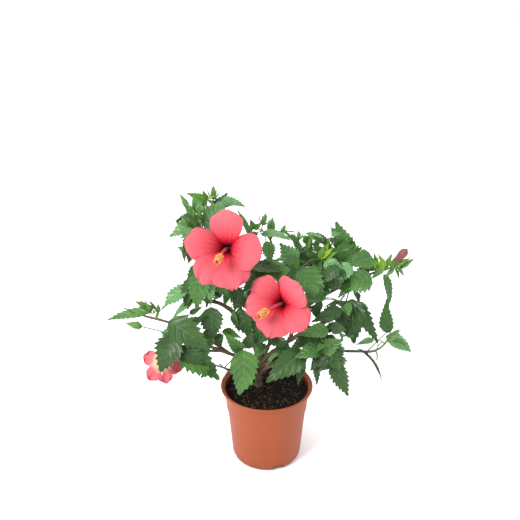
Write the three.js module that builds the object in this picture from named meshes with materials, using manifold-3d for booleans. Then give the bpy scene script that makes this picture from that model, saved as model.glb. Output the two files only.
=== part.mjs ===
// Hibiscus shrub in its nursery pot: pot, soil, trunk, boughs, open blooms and masses of foliage.
// Millimetres, +Z up, origin at the centre of the pot's flat underside, front of the plant towards -Y.
import * as THREE from "three";
import { mergeVertices } from "three/addons/utils/BufferGeometryUtils.js";
import Module from "manifold-3d";

const wasm = await Module();
wasm.setup();

// ---- driving dimensions ----
const RIM_RADIUS = 65;
const POT_HEIGHT = 115;
const LIP_HEIGHT = 4;
const LIP_WIDTH = 2.4;
const COLLAR_RADII = [56.9, 60]; // foot and top of the collar under the lip
const SHOULDER_DROP = 38; // from the lip's top to the stacking shoulder
const SHOULDER_HEIGHT = 2.5;
const WALL_RADII = [48.7, 55.4]; // foot and top of the wall below the shoulder
const WALL = 1.6;
const BASE_CORNER = 8;
const ROUND_SEGMENTS = 32;
const DRAIN = { count: 4, first: 19, width: 16, height: 8, depth: 7 }; // degrees from the front, then mm

const SOIL_DROP = 10; // from the lip's top to the soil at the wall
const SOIL_CROWN = 2; // how much the soil rises to the stem
const SOIL_TOP = POT_HEIGHT - SOIL_DROP + SOIL_CROWN;
const GAP = 0.3; // between pieces that touch
const SEAT = 8; // how deep a bough is seated in the mass it carries
const TRUNK = { foot: [-12, 10], fork: [-9, 7, 148], radii: [4.7, 4], flare: 1.45 };

// Masses of foliage: centre, half-sizes and lean about Y in degrees.
const MASSES = {
  mass_top_left: { at: [-76, 12, 352], half: [46, 32, 42], lean: -14 },
  mass_upper_left: { at: [-90, -14, 270], half: [36, 27, 31], lean: 10 },
  mass_top_middle: { at: [10, 30, 322], half: [42, 30, 27], lean: 12 },
  mass_top_right: { at: [79, 20, 303], half: [43, 34, 38], lean: -8 },
  mass_right_tip: { at: [151, 8, 290], half: [36, 22, 19], lean: -24 },
  mass_right_hanging: { at: [160, 2, 247], half: [9, 15, 34], lean: 3 },
  mass_left_tip: { at: [-172, -10, 234], half: [40, 20, 15], lean: 8 },
  mass_lower_left: { at: [-101, -50, 216], half: [38, 24, 39], lean: 12 },
  mass_front_left: { at: [-52, -66, 180], half: [41, 16, 31], lean: -6 },
  mass_front_right: { at: [30, -58, 182], half: [34, 16, 24], lean: 18 },
  mass_lower_right: { at: [80, -62, 202], half: [40, 22, 46], lean: -10 },
  mass_right_middle: { at: [106, -22, 244], half: [38, 27, 34], lean: 8 },
  mass_low_right_tip: { at: [156, -44, 195], half: [36, 16, 22], lean: -12 },
  mass_centre: { at: [-12, 22, 258], half: [38, 30, 32], lean: 0 },
  mass_back_left: { at: [-66, 78, 268], half: [44, 30, 38], lean: 14 },
  mass_back_right: { at: [62, 84, 254], half: [46, 30, 38], lean: -12 },
  mass_back_low: { at: [2, 100, 200], half: [42, 24, 26], lean: 0 },
};
const MASS_DETAIL = { small: 2, large: 3, from: 43 }; // subdivisions, and the half-size that counts as large
const MASS_UNEVEN = 0.13;

// Open blooms: where the throat is, the way each faces, its radius and the depth of its trumpet.
const BLOOMS = {
  bloom_upper: { throat: [-53, -54, 343], faces: [-0.12, -0.9, 0.42], radius: 50, depth: 30 },
  bloom_middle: { throat: [14, -74, 279], faces: [-0.2, -0.86, 0.47], radius: 42, depth: 28 },
  bloom_low_left: { throat: [-137, -44, 177], faces: [-0.12, 0.78, -0.62], radius: 26, depth: 28 },
};
const PETALS = 5;
const PETAL_SIDES = 4; // facets round each petal
const PETAL_LOBE = 0.06;
const PETAL_THICKNESS = 3;
const CALYX_RADIUS = 4.5;

// Boughs and flower stalks: the limb each leaves and how far along it, what it carries, how much it
// rises on the way, and its radius at either end.
const BOUGHS = {
  bough_left: { from: "trunk", along: 0.96, to: "mass_upper_left", rise: 110, radii: [3.6, 2.4] },
  bough_right: { from: "trunk", along: 0.9, to: "mass_right_middle", rise: 30, radii: [3.6, 2.4] },
  bough_middle: { from: "trunk", along: 1, to: "mass_centre", rise: 20, radii: [3.3, 2.4] },
  bough_lower_left: { from: "trunk", along: 0.66, to: "mass_lower_left", rise: 16, radii: [3, 2] },
  bough_lower_right: { from: "trunk", along: 0.74, to: "mass_lower_right", rise: 20, radii: [3, 2] },
  bough_back_left: { from: "trunk", along: 0.86, to: "mass_back_left", rise: 34, radii: [3.2, 2.1] },
  bough_back_right: { from: "trunk", along: 0.8, to: "mass_back_right", rise: 30, radii: [3.2, 2.1] },
  bough_front_left: { from: "trunk", along: 0.5, to: "mass_front_left", rise: 24, radii: [2.6, 1.8] },
  bough_front_right: { from: "trunk", along: 0.42, to: "mass_front_right", rise: 30, radii: [2.6, 1.8] },
  bough_top_left: { from: "bough_left", along: 0.45, to: "mass_top_left", rise: 50, radii: [2.8, 2] },
  bough_top_middle: { from: "bough_middle", along: 0.7, to: "mass_top_middle", rise: 10, radii: [2.6, 2] },
  bough_top_right: { from: "bough_right", along: 0.46, to: "mass_top_right", rise: 30, radii: [2.7, 2] },
  bough_right_tip: { from: "bough_top_right", along: 0.45, to: "mass_right_tip", rise: 18, radii: [2.3, 1.7] },
  bough_left_tip: { from: "bough_lower_left", along: 0.6, to: "mass_left_tip", rise: 34, radii: [2.2, 1.6] },
  bough_low_right: { from: "bough_lower_right", along: 0.6, to: "mass_low_right_tip", rise: 20, radii: [2.2, 1.6] },
  bough_back_low: { from: "bough_back_right", along: 0.3, to: "mass_back_low", rise: 12, radii: [2.2, 1.7] },
  stalk_upper: { from: "bough_top_left", along: 0.6, to: "bloom_upper", rise: 6, radii: [1.9, 1.7] },
  stalk_middle: { from: "bough_middle", along: 0.45, to: "bloom_middle", rise: 22, radii: [1.9, 1.7] },
  stalk_low_left: { from: "bough_lower_left", along: 0.66, to: "bloom_low_left", rise: 20, radii: [1.8, 1.6] },
};
const LIMB_SIDES = 6;
const LIMB_RINGS = 4;

const COLOURS = {
  pot: 0xc8704f,
  soil: 0x2a1d17,
  bark: 0x6b5440,
  leaves: 0x3c7a3f,
  petals: 0xf9667a,
};

const v3 = (p) => new THREE.Vector3(...p);

// ---- solids: three.js geometry in, manifold solid through the cuts, three.js mesh out ----
function solidOf(geometry) {
  const bare = geometry.clone();
  bare.deleteAttribute("normal");
  bare.deleteAttribute("uv");
  const merged = mergeVertices(bare, 1e-4);
  return new wasm.Manifold(
    new wasm.Mesh({
      numProp: 3,
      vertProperties: new Float32Array(merged.attributes.position.array),
      triVerts: new Uint32Array(merged.index.array),
    }),
  );
}

function largestPiece(solid) {
  return solid.decompose().reduce((best, piece) => (piece.volume() > best.volume() ? piece : best));
}

function meshOf(name, solid, colour, roughness) {
  const { vertProperties, triVerts, numProp } = largestPiece(solid).getMesh();
  const position = new Float32Array((vertProperties.length / numProp) * 3);
  for (let i = 0; i < position.length / 3; i++) {
    position.set(vertProperties.subarray(i * numProp, i * numProp + 3), i * 3);
  }
  const geometry = new THREE.BufferGeometry();
  geometry.setAttribute("position", new THREE.BufferAttribute(position, 3));
  geometry.setIndex(new THREE.BufferAttribute(new Uint32Array(triVerts), 1));
  geometry.computeVertexNormals();
  const material = new THREE.MeshStandardMaterial({ color: colour, roughness, metalness: 0 });
  const mesh = new THREE.Mesh(geometry, material);
  mesh.name = name;
  return mesh;
}

// A solid of revolution about Z from [radius, height] points that close on the axis or on themselves.
function turned(profile, segments = ROUND_SEGMENTS) {
  const points = profile.map(([radius, height]) => new THREE.Vector2(radius, height));
  return solidOf(new THREE.LatheGeometry(points, segments).rotateX(Math.PI / 2));
}

// ---- pot: tapered wall with a thin lip, a stacking shoulder and drain slots round the foot ----
// The wall from the axis up to the foot of the lip, moved inwards by inset.
function wallProfile(inset) {
  const shoulder = POT_HEIGHT - SHOULDER_DROP;
  const corner = [0, 1 / 3, 2 / 3, 1].map((t) => {
    const turn = (t * Math.PI) / 2;
    const radius = WALL_RADII[0] - inset - BASE_CORNER * (1 - Math.sin(turn));
    return [radius, inset + BASE_CORNER * (1 - Math.cos(turn))];
  });
  return [
    [0, inset],
    ...corner,
    [WALL_RADII[1] - inset, shoulder],
    [COLLAR_RADII[0] - inset, shoulder + SHOULDER_HEIGHT],
    [COLLAR_RADII[1] - inset, POT_HEIGHT - LIP_HEIGHT],
  ];
}

function drainSlots() {
  const slots = [];
  for (let i = 0; i < DRAIN.count; i++) {
    const block = new THREE.BoxGeometry(DRAIN.width, 2 * DRAIN.depth, 2 * DRAIN.height);
    const turn = THREE.MathUtils.degToRad(DRAIN.first + (360 / DRAIN.count) * i);
    block.translate(0, -WALL_RADII[0], 0).rotateZ(turn);
    slots.push(solidOf(block));
  }
  return wasm.Manifold.union(slots);
}

function makePot() {
  const lip = [
    [RIM_RADIUS - 0.7, POT_HEIGHT - LIP_HEIGHT + 1.2],
    [RIM_RADIUS, POT_HEIGHT - 1.4],
    [RIM_RADIUS - 0.7, POT_HEIGHT],
  ];
  const mouth = [
    [RIM_RADIUS - LIP_WIDTH, POT_HEIGHT - 0.8],
    [RIM_RADIUS - LIP_WIDTH, POT_HEIGHT + 1],
    [0, POT_HEIGHT + 1],
  ];
  const outer = turned([...wallProfile(0), ...lip, [0, POT_HEIGHT]]);
  const cavity = turned([...wallProfile(WALL), ...mouth]);
  return outer.subtract(cavity).subtract(drainSlots());
}

function makeSoil() {
  const edge = POT_HEIGHT - SOIL_DROP;
  const wall = wallProfile(WALL + GAP).slice(0, -1);
  const edgeRadius = COLLAR_RADII[1] - WALL - GAP - 1;
  return turned([
    ...wall,
    [edgeRadius, edge - 2],
    [edgeRadius - 2, edge],
    [30, edge + SOIL_CROWN],
    [0, edge + SOIL_CROWN],
  ]);
}

// ---- limbs: a tapered cylinder bent along a curve ----
function limbCurve(start, end, rise) {
  const from = v3(start);
  const to = v3(end);
  const bend = from.clone().lerp(to, 0.4).add(new THREE.Vector3(0, 0, rise * 0.5));
  return new THREE.QuadraticBezierCurve3(from, bend, to);
}

function limbSolid(curve, radii, grow, flare = 1) {
  const length = curve.getLength() + 2 * grow;
  const tube = new THREE.CylinderGeometry(1, 1, length, LIMB_SIDES, LIMB_RINGS);
  const position = tube.attributes.position;
  for (let i = 0; i < position.count; i++) {
    const along = THREE.MathUtils.clamp(position.getY(i) / length + 0.5, 0, 1);
    const centre = curve.getPointAt(along);
    const ahead = curve.getTangentAt(along);
    if (along < 0.001) centre.addScaledVector(ahead, -grow);
    if (along > 0.999) centre.addScaledVector(ahead, grow);
    const side = new THREE.Vector3(ahead.z, 0, -ahead.x).normalize();
    const up = new THREE.Vector3().crossVectors(side, ahead);
    const swell = 1 + (flare - 1) * Math.max(0, 1 - along * 4) ** 2;
    const radius = (radii[0] + (radii[1] - radii[0]) * along) * swell + grow;
    const x = position.getX(i) * radius;
    const y = position.getZ(i) * radius;
    centre.addScaledVector(side, x).addScaledVector(up, y);
    position.setXYZ(i, centre.x, centre.y, centre.z);
  }
  return solidOf(tube);
}

function trunkCurve() {
  return new THREE.LineCurve3(v3([...TRUNK.foot, SOIL_TOP]), v3(TRUNK.fork));
}

// The trunk stands on the soil on a flat cut.
function trunkSolid(grow) {
  const ground = new THREE.BoxGeometry(60, 60, 20);
  ground.translate(...TRUNK.foot, SOIL_TOP + GAP - grow - 10);
  const whole = limbSolid(trunkCurve(), TRUNK.radii, grow, TRUNK.flare);
  return whole.subtract(solidOf(ground));
}

// ---- foliage: an uneven lump from a few sine waves laid over a ball ----
function lumpiness(direction, seed) {
  const { x, y, z } = direction;
  return (
    Math.sin(3.1 * x + 1.7 * seed) * Math.cos(2.7 * y - seed) +
    0.6 * Math.sin(5.3 * z + 2.3 * seed) * Math.cos(4.1 * x + seed) +
    0.4 * Math.sin(7.7 * y + 3.1 * seed + 2.9 * z)
  );
}

function massSolid({ at, half, lean }, seed, grow) {
  const detail = Math.max(...half) < MASS_DETAIL.from ? MASS_DETAIL.small : MASS_DETAIL.large;
  const ball = new THREE.IcosahedronGeometry(1, detail);
  const position = ball.attributes.position;
  const direction = new THREE.Vector3();
  for (let i = 0; i < position.count; i++) {
    direction.fromBufferAttribute(position, i).normalize();
    const swell = 1 + MASS_UNEVEN * lumpiness(direction, seed);
    direction.multiply(v3(half).addScalar(grow)).multiplyScalar(swell);
    position.setXYZ(i, direction.x, direction.y, direction.z);
  }
  ball.rotateY(THREE.MathUtils.degToRad(lean)).translate(...at);
  return solidOf(ball);
}

// ---- blooms: a lobed trumpet from the calyx to the petals' edge ----
function bloomBase({ throat, faces, depth }) {
  return v3(throat).addScaledVector(v3(faces).normalize(), -depth);
}

function bloomSolid(bloom, grow) {
  const { throat, faces, radius, depth } = bloom;
  const flare = [
    [0, -depth - grow],
    [CALYX_RADIUS + grow, -depth - grow],
    [CALYX_RADIUS + 2.5 + grow, -depth * 0.35],
    [radius * 0.45, 1 - grow],
    [radius + grow, 6 - grow],
    [radius + grow, 6 + PETAL_THICKNESS + grow],
    [radius * 0.5, 4 + PETAL_THICKNESS + grow],
    [0, 2 + grow],
  ];
  const points = flare.map(([r, h]) => new THREE.Vector2(r, h));
  const shape = new THREE.LatheGeometry(points, PETAL_SIDES * PETALS).rotateX(Math.PI / 2);
  const position = shape.attributes.position;
  for (let i = 0; i < position.count; i++) {
    const x = position.getX(i);
    const y = position.getY(i);
    const share = Math.hypot(x, y) / radius;
    const lobe = 1 + PETAL_LOBE * share * Math.sin(PETALS * Math.atan2(y, x));
    position.setXYZ(i, x * lobe, y * lobe, position.getZ(i));
  }
  const turn = new THREE.Quaternion().setFromUnitVectors(new THREE.Vector3(0, 0, 1), v3(faces).normalize());
  shape.applyQuaternion(turn).translate(...throat);
  return solidOf(shape);
}

// ---- assembly: each later piece is cut clear of the earlier ones it meets ----
const plant = new THREE.Group();
plant.add(meshOf("pot", makePot(), COLOURS.pot, 0.5));
plant.add(meshOf("soil", makeSoil(), COLOURS.soil, 0.95));
plant.add(meshOf("trunk", trunkSolid(0), COLOURS.bark, 0.85));

const curves = { trunk: trunkCurve() };
const grown = [trunkSolid(GAP)]; // what later pieces keep clear of

// Where a limb ends: at a bloom's foot, or seated a little inside the near side of a mass.
function boughEnd(to, start) {
  if (BLOOMS[to]) return bloomBase(BLOOMS[to]).toArray();
  const { at, half } = MASSES[to];
  const away = v3(start).sub(v3(at)).normalize();
  const reach = 1 / away.clone().divide(v3(half)).length() - SEAT;
  return v3(at).addScaledVector(away, reach).toArray();
}

for (const [name, { from, along, to, rise, radii }] of Object.entries(BOUGHS)) {
  const start = curves[from].getPointAt(along).toArray();
  const curve = limbCurve(start, boughEnd(to, start), rise);
  curves[name] = curve;
  const bough = largestPiece(limbSolid(curve, radii, 0).subtract(wasm.Manifold.union(grown)));
  grown.push(limbSolid(curve, radii, GAP));
  plant.add(meshOf(name, bough, COLOURS.bark, 0.85));
}

for (const [name, bloom] of Object.entries(BLOOMS)) {
  const whole = bloomSolid(bloom, 0).subtract(wasm.Manifold.union(grown));
  grown.push(bloomSolid(bloom, GAP));
  plant.add(meshOf(name, whole, COLOURS.petals, 0.6));
}

Object.entries(MASSES).forEach(([name, mass], seed) => {
  const whole = massSolid(mass, seed + 1, 0).subtract(wasm.Manifold.union(grown));
  grown.push(massSolid(mass, seed + 1, GAP));
  plant.add(meshOf(name, whole, COLOURS.leaves, 0.6));
});

export default plant;
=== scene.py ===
"""Builds a flowering hibiscus shrub in its nursery pot around its fixed frame."""

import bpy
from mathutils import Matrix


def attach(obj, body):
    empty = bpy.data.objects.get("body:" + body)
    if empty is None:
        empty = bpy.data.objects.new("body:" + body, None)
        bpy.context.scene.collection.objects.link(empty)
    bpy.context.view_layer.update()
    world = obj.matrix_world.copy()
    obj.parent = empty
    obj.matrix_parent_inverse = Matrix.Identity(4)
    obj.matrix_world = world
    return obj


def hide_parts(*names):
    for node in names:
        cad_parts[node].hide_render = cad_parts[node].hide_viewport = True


bl_info = {
    "name": "Potted Hibiscus Shrub",
    "version": (1, 0, 0),
    "blender": (4, 5, 0),
    "location": "3D View > Sidebar > Hibiscus",
    "description": "Grows a flowering hibiscus shrub in a nursery pot, leaf by leaf",
    "category": "Object",
}

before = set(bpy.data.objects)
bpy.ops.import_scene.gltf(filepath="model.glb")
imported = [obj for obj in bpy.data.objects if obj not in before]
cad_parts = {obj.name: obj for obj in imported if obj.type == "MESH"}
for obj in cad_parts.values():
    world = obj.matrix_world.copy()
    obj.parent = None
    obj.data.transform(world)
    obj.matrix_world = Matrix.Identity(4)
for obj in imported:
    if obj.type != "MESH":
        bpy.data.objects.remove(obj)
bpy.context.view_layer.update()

import functools
import math
import random

import bmesh
import bpy
import numpy as np
from mathutils import Matrix, Vector, noise

MM = 0.001
BODY = "root"
UP = np.array([0.0, 0.0, 1.0])
MERGE = 1e-4            # vertices closer than this, in millimetres, are one

# ---- the frame's own sizes, in millimetres ----
POT_HEIGHT = 115.0
RIM_RADIUS = 65.0
LIP_HEIGHT = 4.0
LIP_WIDTH = 2.4
COLLAR_RADII = (56.9, 60.0)
SHOULDER = 77.0
SHOULDER_HEIGHT = 2.5
COLLAR_HEIGHT = POT_HEIGHT - LIP_HEIGHT - SHOULDER - SHOULDER_HEIGHT
COLLAR_SLOPE = (COLLAR_RADII[1] - COLLAR_RADII[0]) / COLLAR_HEIGHT
WALL_RADII = (48.7, 55.4)
WALL = 1.6
BASE_CORNER = 8.0
DRAIN = {"count": 4, "first": 19, "width": 16, "height": 8, "depth": 7}
SOIL_EDGE = 105.0
SOIL_TOP = 107.0
SOIL_GAP = 0.3
TRUNK_FOOT = (-12.0, 10.0, SOIL_TOP)
TRUNK_FORK = (-9.0, 7.0, 148.0)
TRUNK_RADII = (4.7, 4.0)
TRUNK_FLARE = 1.45
TRUNK_SUNK = 1.2        # how far the bark's foot stands in the soil
BOUGH_FLARE = 1.12
SEAT = 8.0              # how far a bough runs into its mass

# ---- how finely things are turned and strewn ----
POT_TURNS, SOIL_TURNS = 144, 150
CRUMBS, FIBRES = 900, 230
SOIL_SEED, BLOOM_SEED = 5, 23
SCAR_SPACING = 12.5     # between leaf scars on the bark

# ---- stage ----
CAMERA_PLACE = (-9.5, -781.0, 631.0)
CAMERA_PITCH = 22.7
CAMERA_LENS, CAMERA_SENSOR = 45, 36
FLOOR_REACH = 6000
LAMP_AIM = (0, 0, 0.22)
# Soft lamps: name, place and size in metres, power in watts.
LAMPS = (
    ("key", (-1.25, -1.15, 1.5), 0.8, 52),
    ("fill", (1.5, -0.9, 0.9), 1.2, 6),
    ("top", (0.1, 0.5, 1.9), 1.0, 12),
)

# ---- tones ----
# The dark and light leaf tones are painted shade and painted light: darker and paler copies of one green, for leaves
# inside the crown and for leaves where the light falls.
LEAF_TONES = DARK_PAINTED_SHADE, MID, BRIGHT, PALE_PAINTED_LIGHT, YOUNG = ("dark", "mid", "bright", "light", "young")
LEAF_ROUGHNESS = {DARK_PAINTED_SHADE: 0.4, MID: 0.4, BRIGHT: 0.42, PALE_PAINTED_LIGHT: 0.42, YOUNG: 0.5}
WOODY = 0.72            # roughness of bark
VEIN_GREEN, VEIN_PINK = 0xB9CF8E, 0xD88088
CALYX_GREEN = 0x5E8A3C
COLUMN_RED = 0xA8384A
ROLLED_PINK = 0x743A3E
DRY_PEAT = 0x6B4E38

# Masses of foliage: centre, half-sizes, and what is grown in each.
# twigs: side twigs; leaf: blade length; young: share of pale new leaves; light: how pale the rest is, as painted
# light.
MASSES = {
    "mass_top_left": dict(at=(-76, 12, 352), half=(46, 32, 42), twigs=7, leaf=30, young=0.3, light=0.6, spacing=9),
    "mass_upper_left": dict(at=(-90, -14, 270), half=(36, 27, 31), twigs=5, leaf=44, young=0.05, light=0.2),
    "mass_top_middle": dict(at=(10, 30, 322), half=(42, 30, 27), twigs=6, leaf=29, young=0.25, light=0.5, spacing=8,
                            far=(-8, 22, 338)),
    "mass_top_right": dict(at=(79, 20, 303), half=(43, 34, 38), twigs=9, leaf=31, young=0.15, light=0.4, spacing=7.5),
    "mass_right_tip": dict(at=(151, 8, 290), half=(36, 22, 19), twigs=2, leaf=20, young=0.7, light=0.8,
                           far=(160, 3, 292)),
    "mass_right_hanging": dict(at=(160, 2, 247), half=(9, 15, 34), twigs=0, leaf=0, young=0.1, light=0.4),
    "mass_left_tip": dict(at=(-172, -10, 234), half=(40, 20, 15), twigs=2, leaf=24, young=0.6, light=0.7),
    "mass_lower_left": dict(at=(-101, -50, 216), half=(38, 24, 39), twigs=4, leaf=46, young=0.0, light=0.3),
    "mass_front_left": dict(at=(-52, -66, 180), half=(41, 16, 31), twigs=2, leaf=44, young=0.0, light=0.4),
    "mass_front_right": dict(at=(30, -58, 182), half=(34, 16, 24), twigs=3, leaf=46, young=0.0, light=0.2),
    "mass_lower_right": dict(at=(80, -62, 202), half=(40, 22, 46), twigs=6, leaf=40, young=0.05, light=0.3, spacing=9),
    "mass_right_middle": dict(at=(106, -22, 244), half=(38, 27, 34), twigs=6, leaf=38, young=0.05, light=0.2,
                              spacing=9),
    "mass_low_right_tip": dict(at=(156, -44, 195), half=(36, 16, 22), twigs=0, leaf=30, young=0.1, light=0.5,
                               far=(163, -30, 213)),
    "mass_centre": dict(at=(-12, 22, 258), half=(38, 30, 32), twigs=7, leaf=46, young=0.0, light=0.0, spacing=8),
    "mass_back_left": dict(at=(-66, 78, 268), half=(44, 30, 38), twigs=11, leaf=46, young=0.1, light=0.3, spacing=4.5),
    "mass_back_right": dict(at=(62, 84, 254), half=(46, 30, 38), twigs=11, leaf=46, young=0.1, light=0.3, spacing=4.5),
    "mass_back_low": dict(at=(2, 100, 200), half=(42, 24, 26), twigs=11, leaf=42, young=0.0, light=0.2, spacing=4),
}

# Blooms: throat, the way each faces, radius and depth of the trumpet. Each petal is its angle in degrees,
# its length and its half-width as shares of the radius. The column of stamens leans its own way.
BLOOMS = {
    "bloom_upper": dict(
        throat=(-53, -54, 343), faces=(-0.12, -0.9, 0.42), radius=50, depth=30, cup=0.0,
        petals=((88, 0.94, 0.42), (-7, 0.96, 0.46), (-72, 1.06, 0.47), (-120, 1.04, 0.40), (175, 1.0, 0.40)),
        column=(-0.2, -0.9, -0.22), column_length=30,
    ),
    "bloom_middle": dict(
        throat=(14, -74, 279), faces=(-0.2, -0.86, 0.47), radius=42, depth=28, cup=0.0,
        petals=((45, 0.81, 0.56), (-37, 1.10, 0.46), (-100, 1.06, 0.50), (-163, 1.04, 0.44), (147, 1.0, 0.46)),
        column=(-0.72, -0.70, -0.16), column_length=34,
    ),
    "bloom_low_left": dict(
        throat=(-137, -44, 177), faces=(-0.12, 0.78, -0.62), radius=30, depth=28, cup=0.1,
        petals=((158, 0.98, 0.34), (226, 1.04, 0.34), (276, 1.0, 0.34), (335, 0.95, 0.36), (60, 0.9, 0.36)),
        column=(-0.1, 0.75, -0.65), column_length=14,
    ),
}

# Boughs and flower stalks: the limb each leaves and how far along, what it carries, rise, end radii.
BOUGHS = {
    "bough_left": ("trunk", 0.96, "mass_upper_left", 110, (3.6, 2.4)),
    "bough_right": ("trunk", 0.9, "mass_right_middle", 30, (3.6, 2.4)),
    "bough_middle": ("trunk", 1.0, "mass_centre", 20, (3.3, 2.4)),
    "bough_lower_left": ("trunk", 0.66, "mass_lower_left", 16, (3.0, 2.0)),
    "bough_lower_right": ("trunk", 0.74, "mass_lower_right", 20, (3.0, 2.0)),
    "bough_back_left": ("trunk", 0.86, "mass_back_left", 34, (3.2, 2.1)),
    "bough_back_right": ("trunk", 0.8, "mass_back_right", 30, (3.2, 2.1)),
    "bough_front_left": ("trunk", 0.5, "mass_front_left", 24, (2.6, 1.8)),
    "bough_front_right": ("trunk", 0.42, "mass_front_right", 30, (2.6, 1.8)),
    "bough_top_left": ("bough_left", 0.45, "mass_top_left", 50, (2.8, 2.0)),
    "bough_top_middle": ("bough_middle", 0.7, "mass_top_middle", 10, (2.6, 2.0)),
    "bough_top_right": ("bough_right", 0.46, "mass_top_right", 30, (2.7, 2.0)),
    "bough_right_tip": ("bough_top_right", 0.45, "mass_right_tip", 18, (2.3, 1.7)),
    "bough_left_tip": ("bough_lower_left", 0.6, "mass_left_tip", 34, (2.2, 1.6)),
    "bough_low_right": ("bough_lower_right", 0.6, "mass_low_right_tip", 20, (2.2, 1.6)),
    "bough_back_low": ("bough_back_right", 0.3, "mass_back_low", 12, (2.2, 1.7)),
    "stalk_upper": ("bough_top_left", 0.6, "bloom_upper", 6, (1.9, 1.7)),
    "stalk_middle": ("bough_middle", 0.45, "bloom_middle", 22, (1.9, 1.7)),
    "stalk_low_left": ("bough_lower_left", 0.66, "bloom_low_left", 20, (1.8, 1.6)),
}

# Ways in which the upper face of many leading leaves looks.
FORWARD = (0, -0.62, 0.78)
UPRIGHT = (0, -0.92, 0.38)
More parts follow.
